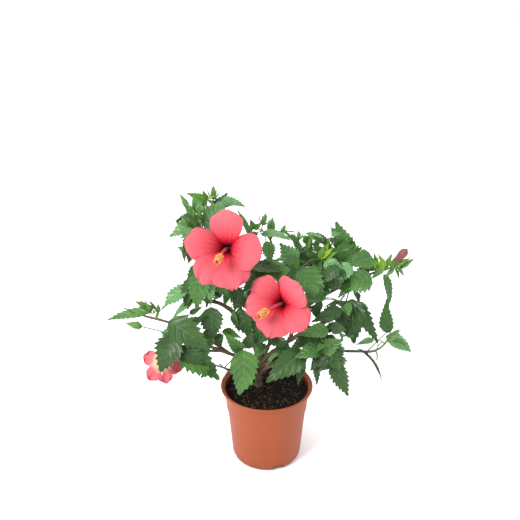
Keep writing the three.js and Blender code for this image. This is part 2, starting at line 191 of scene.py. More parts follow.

# Leading leaves, the ones that give the crown its outline, by mass: base of the blade, tip,
# width over length, the way the upper face looks, droop in degrees and tone, whose dark and light are painted shade
# and painted light.
LEADING_LEAVES = {
    "mass_top_left": (
        ((-76, 0, 347), (-50, -12, 391), 0.62, (-0.45, -0.8, 0.35), 35, PALE_PAINTED_LIGHT),
        ((-60, 4, 377), (-28, -6, 379), 0.52, (0.1, -0.55, 0.8), 80, PALE_PAINTED_LIGHT),
        ((-87, -5, 356), (-124, -12, 341), 0.58, (-0.1, -0.7, 0.7), 40, PALE_PAINTED_LIGHT),
        ((-85, -14, 348), (-109, -22, 343), 0.55, FORWARD, 30, PALE_PAINTED_LIGHT),
        ((-78, 24, 373), (-103, 16, 390), 0.46, (0.2, -0.75, 0.6), 40, BRIGHT),
        ((-79, 14, 375), (-95, 6, 371), 0.62, FORWARD, 20, PALE_PAINTED_LIGHT),
        ((-78, 24, 378), (-83, 22, 392), 0.5, UPRIGHT, 20, BRIGHT),
        ((-95, -8, 349), (-95, -14, 384), 0.26, (0.5, -0.8, 0.1), 10, BRIGHT),
        ((-90, -12, 350), (-101, -16, 375), 0.24, (0.3, -0.9, 0.2), 10, MID),
        ((-84, -4, 349), (-90, -8, 371), 0.28, (-0.3, -0.9, 0.2), 10, PALE_PAINTED_LIGHT),
        ((-22, -8, 339), (-38, -4, 374), 0.24, (0.6, -0.7, 0.2), 25, MID),
        ((-83, 8, 348), (-70, 0, 377), 0.36, UPRIGHT, 20, PALE_PAINTED_LIGHT),
        ((-97, -22, 346), (-105, -26, 312), 0.4, (-0.6, -0.7, 0.2), 30, DARK_PAINTED_SHADE),
        ((-95, -20, 326), (-100, -26, 310), 0.6, UPRIGHT, 20, DARK_PAINTED_SHADE),
        ((-95, 6, 363), (-105, 2, 385), 0.42, UPRIGHT, 20, PALE_PAINTED_LIGHT),
        ((-90, 10, 367), (-94, 6, 391), 0.4, UPRIGHT, 20, PALE_PAINTED_LIGHT),
        ((-86, 4, 366), (-86, 2, 385), 0.5, UPRIGHT, 20, PALE_PAINTED_LIGHT),
    ),
    "mass_upper_left": (
        ((-85, -20, 307), (-103, -28, 270), 0.46, FORWARD, 40, DARK_PAINTED_SHADE),
        ((-92, -22, 274), (-104, -26, 245), 0.42, FORWARD, 30, DARK_PAINTED_SHADE),
        ((-82, -28, 302), (-90, -38, 252), 0.56, (-0.15, -0.8, 0.6), 40, MID),
        ((-78, -30, 295), (-71, -40, 262), 0.52, (0.2, -0.8, 0.55), 30, PALE_PAINTED_LIGHT),
        ((-71, -24, 287), (-79, -30, 250), 0.42, (0.2, -0.85, 0.4), 30, MID),
        ((-68, -24, 288), (-50, -32, 266), 0.6, (0.2, -0.8, 0.5), 30, MID),
        ((-93, -18, 288), (-107, -24, 247), 0.52, (-0.3, -0.8, 0.5), 30, DARK_PAINTED_SHADE),
        ((-54, -16, 277), (-35, -22, 257), 0.6, (0.2, -0.8, 0.5), 30, MID),
        ((-102, -14, 273), (-137, -24, 245), 0.52, (-0.3, -0.55, 0.8), 40, PALE_PAINTED_LIGHT),
        ((-99, -20, 255), (-123, -28, 234), 0.32, (-0.3, -0.7, 0.6), 30, PALE_PAINTED_LIGHT),
        ((-102, -20, 236), (-84, -24, 249), 0.36, UPRIGHT, 20, DARK_PAINTED_SHADE),
    ),
    "mass_top_middle": (
        ((-8, 6, 337), (30, -2, 332), 0.34, (0.1, -0.5, 0.85), 70, PALE_PAINTED_LIGHT),
        ((19, 8, 342), (35, 4, 326), 0.22, (0.5, -0.5, 0.6), 60, MID),
        ((-17, 16, 341), (-22, 10, 357), 0.5, UPRIGHT, 20, BRIGHT),
        ((-17, 16, 341), (-7, 12, 352), 0.5, UPRIGHT, 20, BRIGHT),
        ((-2, -22, 339), (4, -30, 311), 0.62, (0.3, -0.9, 0.2), 20, MID),
    ),
    "mass_top_right": (
        ((38, 2, 301), (16, 6, 326), 0.8, (-0.2, -0.93, 0.2), 20, PALE_PAINTED_LIGHT),
        ((40, 6, 299), (40, 10, 330), 0.5, (0.3, -0.9, 0.2), 20, MID),
        ((46, 12, 299), (59, 14, 327), 0.55, (0.1, -0.9, 0.3), 20, DARK_PAINTED_SHADE),
        ((27, -4, 307), (3, -14, 307), 0.25, (0, -0.5, 0.85), 30, PALE_PAINTED_LIGHT),
        ((35, -6, 296), (42, -8, 310), 0.5, UPRIGHT, 20, BRIGHT),
        ((135, -12, 284), (91, -22, 273), 0.66, (0.1, -0.78, 0.6), 45, MID),
        ((136, -2, 309), (105, -14, 302), 0.78, (0.1, -0.8, 0.6), 40, MID),
        ((106, 28, 297), (91, 34, 346), 0.6, (0.2, -0.95, 0.2), 30, MID),
        ((106, -18, 285), (69, -26, 273), 0.5, FORWARD, 40, DARK_PAINTED_SHADE),
        ((61, 6, 299), (41, 8, 315), 0.55, UPRIGHT, 30, DARK_PAINTED_SHADE),
        ((72, 14, 310), (59, 16, 322), 0.5, UPRIGHT, 20, MID),
        ((88, 16, 306), (77, 18, 321), 0.5, UPRIGHT, 20, MID),
        ((41, -22, 301), (70, -34, 263), 0.72, (0, -0.78, 0.62), 40, MID),
        ((109, -14, 302), (80, -22, 284), 0.66, FORWARD, 40, PALE_PAINTED_LIGHT),
        ((73, -12, 307), (100, -20, 289), 0.62, (0, -0.8, 0.6), 40, PALE_PAINTED_LIGHT),
        ((90, -20, 304), (70, -28, 283), 0.6, FORWARD, 40, DARK_PAINTED_SHADE),
        ((98, -20, 299), (86, -26, 273), 0.5, FORWARD, 30, DARK_PAINTED_SHADE),
        ((64, -32, 283), (46, -42, 264), 0.6, FORWARD, 40, MID),
        ((68, -10, 310), (85, -12, 327), 0.3, (-0.2, -0.8, 0.5), 20, YOUNG),
        ((73, -10, 310), (91, -12, 322), 0.3, (-0.2, -0.8, 0.5), 20, BRIGHT),
        ((66, -10, 311), (73, -12, 331), 0.3, (-0.2, -0.8, 0.5), 20, BRIGHT),
        ((100, 2, 301), (123, 6, 320), 0.6, UPRIGHT, 30, MID),
        ((88, 10, 297), (107, 14, 327), 0.55, UPRIGHT, 30, MID),
        ((66, 0, 301), (50, 2, 320), 0.62, (-0.1, -0.9, 0.4), 30, DARK_PAINTED_SHADE),
        ((109, -20, 279), (91, -26, 262), 0.5, FORWARD, 30, MID),
        ((121, -4, 283), (136, -4, 303), 0.6, FORWARD, 30, DARK_PAINTED_SHADE),
        ((80, -26, 273), (65, -30, 267), 0.6, FORWARD, 30, MID),
        ((43, 10, 314), (32, 14, 332), 0.4, UPRIGHT, 20, PALE_PAINTED_LIGHT),
        ((51, 10, 314), (58, 14, 332), 0.36, UPRIGHT, 20, BRIGHT),
        ((95, 10, 314), (116, 12, 322), 0.4, UPRIGHT, 30, MID),
        ((72, 10, 309), (82, 14, 325), 0.34, UPRIGHT, 20, YOUNG),
    ),
    "mass_right_tip": (
        ((153, 0, 292), (136, -4, 279), 0.42, FORWARD, 20, PALE_PAINTED_LIGHT),
        ((166, 0, 292), (153, -4, 280), 0.36, FORWARD, 20, PALE_PAINTED_LIGHT),
        ((145, 2, 292), (139, 6, 313), 0.3, UPRIGHT, 10, BRIGHT),
        ((156, 2, 292), (161, 4, 311), 0.34, UPRIGHT, 10, BRIGHT),
        ((171, 0, 294), (179, -4, 283), 0.4, FORWARD, 20, PALE_PAINTED_LIGHT),
        ((135, 2, 288), (149, 2, 301), 0.4, FORWARD, 20, MID),
        ((137, 0, 290), (124, 6, 305), 0.4, UPRIGHT, 20, DARK_PAINTED_SHADE),
        ((143, 2, 292), (133, 6, 309), 0.4, UPRIGHT, 20, MID),
        ((155, 0, 293), (144, 2, 312), 0.36, UPRIGHT, 20, YOUNG),
        ((163, 0, 293), (186, -2, 308), 0.34, FORWARD, 20, BRIGHT),
        ((147, 2, 289), (137, 0, 307), 0.5, UPRIGHT, 20, YOUNG),
        ((148, 2, 289), (152, 0, 306), 0.5, UPRIGHT, 20, YOUNG),
        ((167, 0, 292), (172, -2, 277), 0.3, (0.6, -0.7, 0.2), 70, MID),
        ((152, 0, 290), (162, -4, 295), 0.4, FORWARD, 20, BRIGHT),
    ),
    "mass_right_hanging": (
        ((153, 0, 284), (163, 2, 236), 0.28, (0.6, -0.75, 0.2), 50, MID),
        ((165, 2, 195), (160, 0, 249), 0.36, (-0.4, -0.9, 0.1), 25, MID),
    ),
    "mass_left_tip": (
        ((-153, -12, 236), (-217, 0, 216), 0.22, (0.1, -0.6, 0.8), 30, MID),
        ((-152, -14, 237), (-176, -10, 251), 0.26, (0.3, -0.8, 0.5), 15, MID),
        ((-147, -14, 239), (-154, -14, 252), 0.3, UPRIGHT, 10, PALE_PAINTED_LIGHT),
        ((-143, -16, 237), (-148, -20, 228), 0.4, UPRIGHT, 10, BRIGHT),
    ),
    "mass_lower_left": (
        ((-124, -56, 245), (-72, -72, 212), 0.56, (-0.1, -0.72, 0.7), 35, DARK_PAINTED_SHADE),
        ((-115, -62, 226), (-136, -76, 182), 0.7, (-0.2, -0.85, 0.5), 35, DARK_PAINTED_SHADE),
        ((-72, -38, 255), (-70, -50, 212), 0.66, (0, -0.85, 0.5), 35, DARK_PAINTED_SHADE),
        ((-66, -42, 218), (-59, -50, 205), 0.9, FORWARD, 30, DARK_PAINTED_SHADE),
        ((-124, -58, 221), (-134, -62, 232), 0.7, FORWARD, 20, PALE_PAINTED_LIGHT),
        ((-80, -44, 225), (-71, -54, 203), 0.6, FORWARD, 30, MID),
    ),
    "mass_front_left": (
        ((-110, -60, 205), (-61, -74, 169), 0.6, (0.15, -0.62, 0.78), 40, MID),
        ((-106, -64, 213), (-78, -72, 189), 0.6, (-0.1, -0.8, 0.55), 40, DARK_PAINTED_SHADE),
        ((-31, -62, 206), (-36, -84, 153), 0.68, (0.45, -0.8, 0.35), 45, MID),
        ((-33, -52, 199), (-55, -60, 230), 0.46, (-0.2, -0.75, 0.6), 35, MID),
        ((-28, -44, 198), (-20, -46, 226), 0.55, (0.1, -0.9, 0.3), 25, DARK_PAINTED_SHADE),
    ),
    "mass_front_right": (
        ((48, -56, 200), (-2, -80, 169), 0.52, (0.12, -0.66, 0.75), 45, DARK_PAINTED_SHADE),
        ((43, -58, 192), (39, -76, 163), 0.42, (0.3, -0.85, 0.35), 30, DARK_PAINTED_SHADE),
        ((35, -40, 190), (1, -52, 182), 0.5, (0, -0.6, 0.8), 40, DARK_PAINTED_SHADE),
        ((52, -60, 199), (31, -66, 186), 0.55, FORWARD, 30, MID),
        ((60, -56, 200), (64, -66, 156), 0.32, (0.4, -0.85, 0.3), 30, DARK_PAINTED_SHADE),
        ((69, -64, 212), (33, -72, 200), 0.55, (0, -0.66, 0.75), 40, MID),
        ((65, -58, 201), (45, -60, 215), 0.5, FORWARD, 30, MID),
    ),
    "mass_lower_right": (
        ((85, -64, 191), (104, -76, 146), 0.46, (-0.2, -0.85, 0.45), 30, DARK_PAINTED_SHADE),
        ((65, -66, 206), (95, -72, 228), 0.6, (0, -0.85, 0.5), 35, MID),
        ((69, -68, 207), (96, -74, 210), 0.72, (0.1, -0.8, 0.6), 35, DARK_PAINTED_SHADE),
        ((74, -66, 203), (95, -74, 181), 0.52, (0.2, -0.85, 0.5), 30, MID),
        ((86, -60, 189), (66, -66, 177), 0.6, FORWARD, 30, MID),
        ((70, -62, 197), (55, -68, 179), 0.6, FORWARD, 30, DARK_PAINTED_SHADE),
        ((77, -60, 234), (39, -68, 231), 0.5, (0, -0.7, 0.7), 40, MID),
        ((80, -58, 237), (99, -66, 237), 0.8, (0, -0.9, 0.4), 25, DARK_PAINTED_SHADE),
        ((79, -58, 221), (48, -66, 223), 0.55, FORWARD, 30, DARK_PAINTED_SHADE),
        ((74, -60, 225), (91, -66, 214), 0.6, FORWARD, 30, DARK_PAINTED_SHADE),
        ((62, -62, 209), (43, -66, 200), 0.7, FORWARD, 20, PALE_PAINTED_LIGHT),
        ((41, -52, 241), (56, -58, 227), 0.55, FORWARD, 30, MID),
        ((87, -46, 249), (55, -54, 242), 0.46, FORWARD, 30, DARK_PAINTED_SHADE),
        ((90, -50, 236), (67, -58, 226), 0.5, FORWARD, 30, DARK_PAINTED_SHADE),
    ),
    "mass_right_middle": (
        ((95, -38, 251), (60, -52, 245), 0.5, (0, -0.66, 0.75), 40, DARK_PAINTED_SHADE),
        ((102, -24, 254), (73, -32, 252), 0.24, (0, -0.25, 0.97), 50, MID),
        ((110, -22, 259), (114, -36, 200), 0.58, (-0.25, -0.88, 0.35), 35, DARK_PAINTED_SHADE),
        ((111, -24, 255), (146, -34, 199), 0.32, (0.3, -0.88, 0.35), 25, DARK_PAINTED_SHADE),
        ((107, -26, 256), (96, -34, 227), 0.4, (-0.3, -0.85, 0.4), 30, MID),
        ((91, -36, 247), (103, -44, 216), 0.46, (-0.1, -0.88, 0.4), 30, DARK_PAINTED_SHADE),
        ((68, -30, 261), (63, -36, 241), 0.5, FORWARD, 30, MID),
        ((75, -30, 265), (45, -38, 262), 0.4, (0, -0.6, 0.8), 30, PALE_PAINTED_LIGHT),
        ((57, -34, 255), (70, -42, 236), 0.5, FORWARD, 30, DARK_PAINTED_SHADE),
    ),
    "mass_low_right_tip": (
        ((156, -30, 208), (192, -28, 183), 0.48, (-0.1, -0.6, 0.8), 50, PALE_PAINTED_LIGHT),
        ((119, -45, 198), (150, -56, 157), 0.15, (0.9, -0.3, 0.3), 50, DARK_PAINTED_SHADE),
        ((140, -34, 205), (116, -40, 201), 0.36, FORWARD, 40, PALE_PAINTED_LIGHT),
        ((164, -30, 211), (174, -28, 218), 0.34, UPRIGHT, 20, MID),
    ),
    "mass_centre": (
        ((-25, -34, 309), (30, -28, 297), 0.34, (0.05, -0.45, 0.9), 40, DARK_PAINTED_SHADE),
        ((-7, -32, 307), (-31, -38, 275), 0.5, FORWARD, 30, DARK_PAINTED_SHADE),
        ((59, -34, 209), (29, -40, 193), 0.5, (0, -0.6, 0.8), 40, DARK_PAINTED_SHADE),
        ((-2, -26, 194), (-20, -34, 174), 0.5, FORWARD, 30, MID),
        ((25, -30, 196), (9, -40, 175), 0.5, FORWARD, 30, DARK_PAINTED_SHADE),
        ((-7, -24, 312), (32, -18, 294), 0.36, (0.1, -0.3, 0.95), 30, MID),
        ((16, -26, 307), (-17, -34, 293), 0.36, (0, -0.4, 0.9), 30, MID),
        ((-37, -20, 275), (-43, -26, 242), 0.5, (0.4, -0.85, 0.3), 30, DARK_PAINTED_SHADE),
        ((-38, -22, 244), (-20, -34, 208), 0.62, (-0.2, -0.9, 0.35), 35, DARK_PAINTED_SHADE),
        ((-43, -26, 243), (-36, -32, 214), 0.4, (-0.6, -0.75, 0.2), 25, MID),
        ((6, -30, 217), (-28, -42, 202), 0.5, (0, -0.7, 0.7), 40, DARK_PAINTED_SHADE),
        ((-7, -28, 201), (-32, -34, 217), 0.5, FORWARD, 30, MID),
        ((1, -22, 201), (33, -34, 190), 0.52, (0, -0.6, 0.8), 40, DARK_PAINTED_SHADE),
        ((-17, -32, 196), (1, -36, 210), 0.6, FORWARD, 20, MID),
        ((44, -30, 267), (50, -36, 232), 0.6, (0.1, -0.9, 0.4), 30, DARK_PAINTED_SHADE),
        ((-52, -8, 263), (-57, -12, 243), 0.5, (0.3, -0.9, 0.2), 20, MID),
        ((-46, -14, 266), (-48, -16, 248), 0.34, (0.6, -0.8, 0.1), 10, PALE_PAINTED_LIGHT),
        ((-7, -30, 305), (25, -34, 288), 0.5, FORWARD, 30, MID),
        ((28, -30, 306), (3, -34, 291), 0.5, FORWARD, 30, MID),
        ((-36, -18, 261), (-25, -24, 242), 0.55, FORWARD, 20, DARK_PAINTED_SHADE),
        ((-24, -28, 237), (-13, -34, 214), 0.55, FORWARD, 20, DARK_PAINTED_SHADE),
        ((-59, -30, 216), (-34, -36, 209), 0.5, FORWARD, 20, BRIGHT),
    ),
}
# Gaps in the crown, where no grown leaf or twig may stand between the gap and the camera's side:
# x and z of the middle in the plane y = 0, and radius.
GAPS = (
    (-68, 399, 8), (-77, 399, 5), (-173, 224, 7), (-62, 169, 8), (-129, 230, 6), (190, 161, 10),
    (117, 158, 10), (85, 127, 7), (93, 90, 12), (1, 332, 7), (-187, 239, 11), (-200, 201, 11),
    (-149, 201, 8), (10, 321, 11), (1, 328, 7), (-17, 373, 8), (22, 358, 8), (42, 347, 8), (-49, 212, 10),
    (-39, 243, 5), (-149, 213, 5), (89, 251, 6), (104, 252, 6), (137, 249, 12), (147, 219, 11),
    (135, 195, 6), (136, 158, 11), (179, 150, 12), (-73, 157, 11), (-114, 219, 5), (-122, 237, 5),
    (74, 342, 7), (152, 328, 10), (-156, 261, 14), (-28, 386, 7), (187, 216, 14), (187, 261, 17),
    (-158, 185, 12), (3, 358, 4), (12, 321, 8), (6, 307, 5),
)

# Buds by mass: where each sits, the way it points, its length and its kind.
BUDS = {
    "mass_top_left": (
        ((-70, 26, 379), (0.05, -0.1, 1), 19, "spiky"),
        ((-100, 8, 371), (-0.45, -0.1, 0.9), 24, "long"),
        ((-98, -10, 355), (-0.6, -0.2, 0.8), 19, "long"),
        ((-86, -6, 364), (0.1, -0.3, 1), 14, "spiky"),
        ((-104, -24, 327), (-0.75, -0.3, 0.6), 12, "plump"),
    ),
    "mass_top_middle": (
        ((-6, 22, 345), (0.25, -0.1, 0.95), 18, "spiky"),
        ((-21, 26, 336), (0, -0.1, 1), 11, "spiky"),
        ((21, 20, 336), (0.2, -0.1, 1), 11, "spiky"),
    ),
    "mass_top_right": (
        ((66, 24, 314), (0, 0, 1), 15, "plump"),
        ((81, 22, 314), (-0.05, 0, 1), 13, "spiky"),
        ((51, 20, 320), (-0.1, 0, 1), 13, "spiky"),
        ((112, 12, 309), (0.6, 0, 0.8), 15, "spiky"),
        ((119, 10, 306), (0.75, 0, 0.75), 14, "long"),
        ((41, 12, 328), (0, 0, 1), 13, "spiky"),
        ((102, 16, 318), (0.2, 0, 1), 13, "spiky"),
    ),
    "mass_right_tip": (
        ((162, 2, 294), (0.6, -0.1, 0.84), 32, "rolled"),
        ((156, 4, 294), (0.35, -0.1, 0.95), 20, "long"),
        ((174, 2, 292), (0.8, -0.1, 0.68), 23, "long"),
    ),
    "mass_left_tip": (
        ((-144, -16, 237), (0.1, -0.2, 0.95), 13, "spiky"),
        ((-151, -18, 242), (-0.7, -0.2, 0.7), 14, "spiky"),
        ((-160, -14, 243), (-0.5, -0.2, 0.8), 13, "spiky"),
    ),
    "mass_lower_left": (
        ((-161, -46, 231), (-1, 0.05, 0.22), 21, "plump"),
    ),
    "mass_lower_right": (
        ((94, -66, 192), (0.9, -0.3, 0.3), 9, "spiky"),
    ),
    "mass_low_right_tip": (
        ((168, -30, 213), (0.8, -0.1, 0.5), 9, "long"),
    ),
}


def srgb(value):
    """The linear colour of an sRGB hex value."""
    parts = [((value >> shift) & 255) / 255 for shift in (16, 8, 0)]
    return tuple(p / 12.92 if p <= 0.04045 else ((p + 0.055) / 1.055) ** 2.4 for p in parts)


# ---- settings ----
def colour_setting(name, text, value):
    return bpy.props.FloatVectorProperty(
        name=name, description=text, size=3, min=0, max=1, subtype="COLOR", default=srgb(value)
    )


def length_setting(name, text, millimetres):
    return bpy.props.FloatProperty(
        name=name, description=text, min=0, default=millimetres * MM, subtype="DISTANCE", unit="LENGTH"
    )


class HibiscusPotSettings(bpy.types.PropertyGroup):
    """Sizes and colours of the pot and its soil."""

    plastic: colour_setting("Plastic", "Colour of the moulded pot", 0x8C401E)
    peat: colour_setting("Peat", "Colour of the damp peat", 0x130C06)
    fibre: colour_setting("Fibre", "Colour of the loose fibres in the soil", 0x5A422C)
    crumb: length_setting("Crumb size", "Size of the larger crumbs of soil", 2.6)


class HibiscusPlantSettings(bpy.types.PropertyGroup):
    """Sizes and colours of the stems and leaves."""

    seed: bpy.props.IntProperty(name="Seed", description="Start of the random growth", default=11)
    petiole: length_setting("Leaf stalk", "Length of a grown leaf's stalk", 15)
    bark: colour_setting("Bark", "Colour of the woody stems", 0x5C4632)
    shoot: colour_setting("Green shoots", "Colour of the young stems", 0x46602C)
    # Dark and light leaves carry painted shade and painted light: their colours stand for shade inside the crown and
    # for full light.
    dark_leaf: colour_setting("Dark leaves", "Colour of old and shaded leaves", 0x25451D)
    mid_leaf: colour_setting("Leaves", "Colour of most leaves", 0x3A662F)
    bright_leaf: colour_setting("Bright leaves", "Colour of fresh leaves", 0x4C7C2A)
    light_leaf: colour_setting("Light leaves", "Colour of leaves in full light", 0x538152)
    young_leaf: colour_setting("Young leaves", "Colour of new leaves", 0x6A9420)
    underside: colour_setting("Undersides", "Colour of the backs of the leaves", 0x5C7A50)


class HibiscusBloomSettings(bpy.types.PropertyGroup):
    """Colours of the blooms and buds."""

    petal: colour_setting("Petals", "Colour of the open petals", 0xBC4A54)
    petal_base: colour_setting("Petal foot", "Colour towards the throat", 0xB41A34)
    eye: colour_setting("Eye", "Colour of the dark throat", 0x38000A)
    petal_back: colour_setting("Petal backs", "Colour of the backs of the petals", 0xC8606A)
    anther: colour_setting("Anthers", "Colour of the pollen", 0xD08C4C)
    stigma: colour_setting("Stigmas", "Colour of the five pads", 0xB8503A)
    bud: colour_setting("Buds", "Colour of the green buds", 0x4A7426)


class HibiscusStageSettings(bpy.types.PropertyGroup):
    """Floor and light."""

    floor: colour_setting("Floor", "Colour of the floor", 0xFFFFFF)
    sky: bpy.props.FloatProperty(name="Sky", description="Strength of the even light", min=0, default=1.0)


# ---- vectors and curves ----
def unit(vector):
    vector = np.asarray(vector, float)
    return vector / max(np.linalg.norm(vector), 1e-9)


def spoke(axis, turn, hint):
    """A direction square to an axis, turned round it from the side that the hint gives."""
    side = unit(np.cross(axis, hint))
    return math.cos(turn) * side + math.sin(turn) * np.cross(axis, side)


class Limb:
    """A tapering stem along a curve."""

    def __init__(self, points, radii):
        self.points = np.asarray(points, float)
        self.radii = radii
        lengths = np.linalg.norm(np.diff(self.points, axis=0), axis=1)
        self.length = lengths.sum()
        self.reach = np.concatenate([[0], np.cumsum(lengths)]) / self.length

    def at(self, along):
        return np.stack([np.interp(along, self.reach, self.points[:, k]) for k in range(3)], axis=-1)

    def heading(self, along):
        return unit(self.at(min(1, along + 0.03)) - self.at(max(0, along - 0.03)))

    def radius(self, along):
        return np.interp(along, (0, 1), self.radii)


def bent(start, bend, end, radii, count=40):
    t = np.linspace(0, 1, count)[:, None]
    start, bend, end = (np.asarray(p, float) for p in (start, bend, end))
    return Limb((1 - t) ** 2 * start + 2 * t * (1 - t) * bend + t**2 * end, radii)


def limb_end(to, start):
    """Where a limb ends: at a bloom's foot, or a little inside the near side of a mass."""
    if to in BLOOMS:
        bloom = BLOOMS[to]
        return np.array(bloom["throat"]) - unit(bloom["faces"]) * bloom["depth"]
    centre, half = (np.array(MASSES[to][key], float) for key in ("at", "half"))
    away = unit(start - centre)
    return centre + away * (1 / np.linalg.norm(away / half) - SEAT)


@functools.cache
def limbs():
    """The trunk and every bough, by the name of its node."""
    found = {"trunk": Limb([TRUNK_FOOT, TRUNK_FORK], TRUNK_RADII)}
    for name, (source, along, to, rise, radii) in BOUGHS.items():
        start = found[source].at(along)
        end = limb_end(to, start)
        found[name] = bent(start, start + (end - start) * 0.4 + UP * rise * 0.5, end, radii)
    return found


# ---- small shapes that are copied many times ----
class Shape:
    """The vertices, faces and face slots of a small closed mesh made with bmesh."""

    def __init__(self, made):
        made.verts.index_update()
        self.points = np.array([v.co[:] for v in made.verts])
        self.faces = [[v.index for v in f.verts] for f in made.faces]
        self.slots = [f.material_index for f in made.faces]
        made.free()


class Bunch:
    """Copies of small shapes, joined into one mesh."""

    def __init__(self):
        self.points, self.uvs, self.tones, self.faces, self.slots = [], [], [], [], []
        self.count = 0

    def add(self, shape, points, uv=None, tone=0.0, slots=None):
        """Adds a shape; slots is one slot for all its faces, a list of them, or the shape's own."""
        self.points.append(points)
        self.uvs.append(np.zeros((len(points), 2)) if uv is None else uv)
        self.tones.append(np.full(len(points), tone))
        self.faces.extend([[self.count + i for i in face] for face in shape.faces])
        self.slots.extend([slots] * len(shape.faces) if isinstance(slots, int) else slots or shape.slots)
        self.count += len(points)

    def tube(self, shape, limb, radius_at, slots=None):
        self.add(shape, tube_points(shape, limb, radius_at), slots=slots)

    def mesh(self, name):
        mesh = bpy.data.meshes.new(name)
        mesh.from_pydata(np.concatenate(self.points) * MM, [], self.faces)
        mesh.polygons.foreach_set("material_index", self.slots)
        corner = np.empty(len(mesh.loops), int)
        mesh.loops.foreach_get("vertex_index", corner)
        layer = mesh.uv_layers.new(name="blade")
        layer.data.foreach_set("uv", np.concatenate(self.uvs)[corner].ravel())
        tone = mesh.attributes.new("tone", "FLOAT", "POINT")
        tone.data.foreach_set("value", np.concatenate(self.tones))
        mesh.update()
        return mesh


def put(name, made, materials, nodes=(), crease=50):
    """Makes a finished piece of a mesh or a bunch, and tells the frame what it is."""
    mesh = made.mesh(name) if isinstance(made, Bunch) else made
    for material in materials:
        mesh.materials.append(material)
    mesh.shade_smooth()
    mesh.set_sharp_from_angle(angle=math.radians(crease))
    piece = bpy.data.objects.new(name, mesh)
    bpy.context.scene.collection.objects.link(piece)
    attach(piece, BODY)
    if nodes:
        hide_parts(*nodes)


def bmesh_to_mesh(name, made):
    bmesh.ops.remove_doubles(made, verts=made.verts, dist=MERGE)
    bmesh.ops.recalc_face_normals(made, faces=made.faces)
    bmesh.ops.scale(made, vec=(MM, MM, MM), verts=made.verts)
    mesh = bpy.data.meshes.new(name)
    made.to_mesh(mesh)
    made.free()
    return mesh


@functools.cache
def tube_shape(sides, rings):
    """An upright tube of unit radius from height 0 to 1."""
    made = bmesh.new()
    raised = Matrix.Translation((0, 0, 0.5))
    bmesh.ops.create_cone(made, cap_ends=True, segments=sides, radius1=1, radius2=1, depth=1, matrix=raised)
    upright = [e for e in made.edges if abs(e.verts[0].co.z - e.verts[1].co.z) > 0.5]
    bmesh.ops.subdivide_edges(made, edges=upright, cuts=rings - 1, use_grid_fill=True)
    return Shape(made)


def tapered(*stops):
    """A tube's radius from (height, radius) stops."""
    return lambda height, angle: np.interp(height, *zip(*stops))


def tube_points(shape, limb, radius_at):
    """The tube's vertices laid along a limb; radius_at takes the height and angle of each."""
    height = np.clip(shape.points[:, 2], 0, 1)
    angle = np.arctan2(shape.points[:, 1], shape.points[:, 0])
    rings, back = np.unique(np.round(height, 5), return_inverse=True)
    side = unit(np.cross(limb.heading(0), (0.31, 0.87, 0.39)))
    sides, fronts = [], []
    for along in rings:
        ahead = limb.heading(along)
        side = unit(side - ahead * side.dot(ahead))
        sides.append(side)
        fronts.append(np.cross(ahead, side))
    turn = np.cos(angle)[:, None] * np.array(sides)[back] + np.sin(angle)[:, None] * np.array(fronts)[back]
    return limb.at(rings)[back] + turn * radius_at(height, angle)[:, None]


@functools.cache
def ball_shape():
    made = bmesh.new()
    bmesh.ops.create_icosphere(made, subdivisions=1, radius=1)
    return Shape(made)


def blade_shape(columns, rows):
    """A thin flat strip: x from the columns, y from the rows, z 0 in front and -1 on its back."""
    made = bmesh.new()
    wide, long = len(columns) - 1, len(rows) - 1
    bmesh.ops.create_grid(made, x_segments=wide, y_segments=long, size=1)
    for v in made.verts:
        v.co = (columns[round((v.co.x + 1) / 2 * wide)], rows[round((v.co.y + 1) / 2 * long)], 0)
    bmesh.ops.solidify(made, geom=made.faces[:], thickness=0.1)
    bmesh.ops.recalc_face_normals(made, faces=made.faces)
    front = max(v.co.z for v in made.verts) - 0.05
    for v in made.verts:
        v.co.z = 0 if v.co.z > front else -1
    for f in made.faces:
        f.material_index = 1 if f.normal.z < -0.5 else 0
    shape = Shape(made)
    shape.uv = np.stack([shape.points[:, 0] * 0.5 + 0.5, shape.points[:, 1]], axis=1)
    return shape


# ---- leaves ----
# A leading leaf is cut finer than one grown inside the crown: columns across and teeth a side.
LEADING_CUT = ((-1.0, -0.5, 0.0, 0.5, 1.0), 7)
GROWN_CUT = ((-1.0, 0.0, 1.0), 6)
TEETH_START, TEETH_SPAN, TOOTH_PEAK = 0.16, 0.79, 0.78
LEAF_OUTLINE = (
    (0.0, 0.03), (0.03, 0.32), (0.08, 0.62), (0.16, 0.88), (0.26, 1.0), (0.36, 0.99),
    (0.47, 0.90), (0.58, 0.74), (0.69, 0.55), (0.79, 0.37), (0.88, 0.20), (0.95, 0.08), (1.0, 0.008),
)
LEAF_THICKNESS = 0.45
LEAF_LENGTH = 50.0
LATERAL_VEINS = 6.0
VEIN_SLANT = 1.5


@functools.cache
def leaf_shape(leading):
    """A flat toothed blade: x is across in half-widths, y along, z 0 on the upper face."""
    columns, teeth = LEADING_CUT if leading else GROWN_CUT
    pitch = TEETH_SPAN / teeth
    rows = [TEETH_START + pitch * (tooth + part) for tooth in range(teeth) for part in (0, TOOTH_PEAK)]
    shape = blade_shape(columns, [0.0, 0.07] + rows + [1.0])
    u, v, shape.lower = shape.points.T
    half = np.interp(v, *zip(*LEAF_OUTLINE))
    tooth = (v - TEETH_START) / pitch + 1e-6
    saw = np.where((tooth >= 0) & (v < 0.99), (tooth % 1.0) - 0.35, 0.0)
    edge = np.abs(u) ** 3
    shape.u, shape.v, shape.across = u, v, u * half
    shape.saw = u * edge * saw * np.sqrt(half)
    shape.along = v + edge * np.where(saw > 0.3, 0.02, 0.0)
    shape.relief = 0.8 * np.abs(u) * (1 - np.abs(u)) * np.clip(v * 6, 0, 1)
    return shape


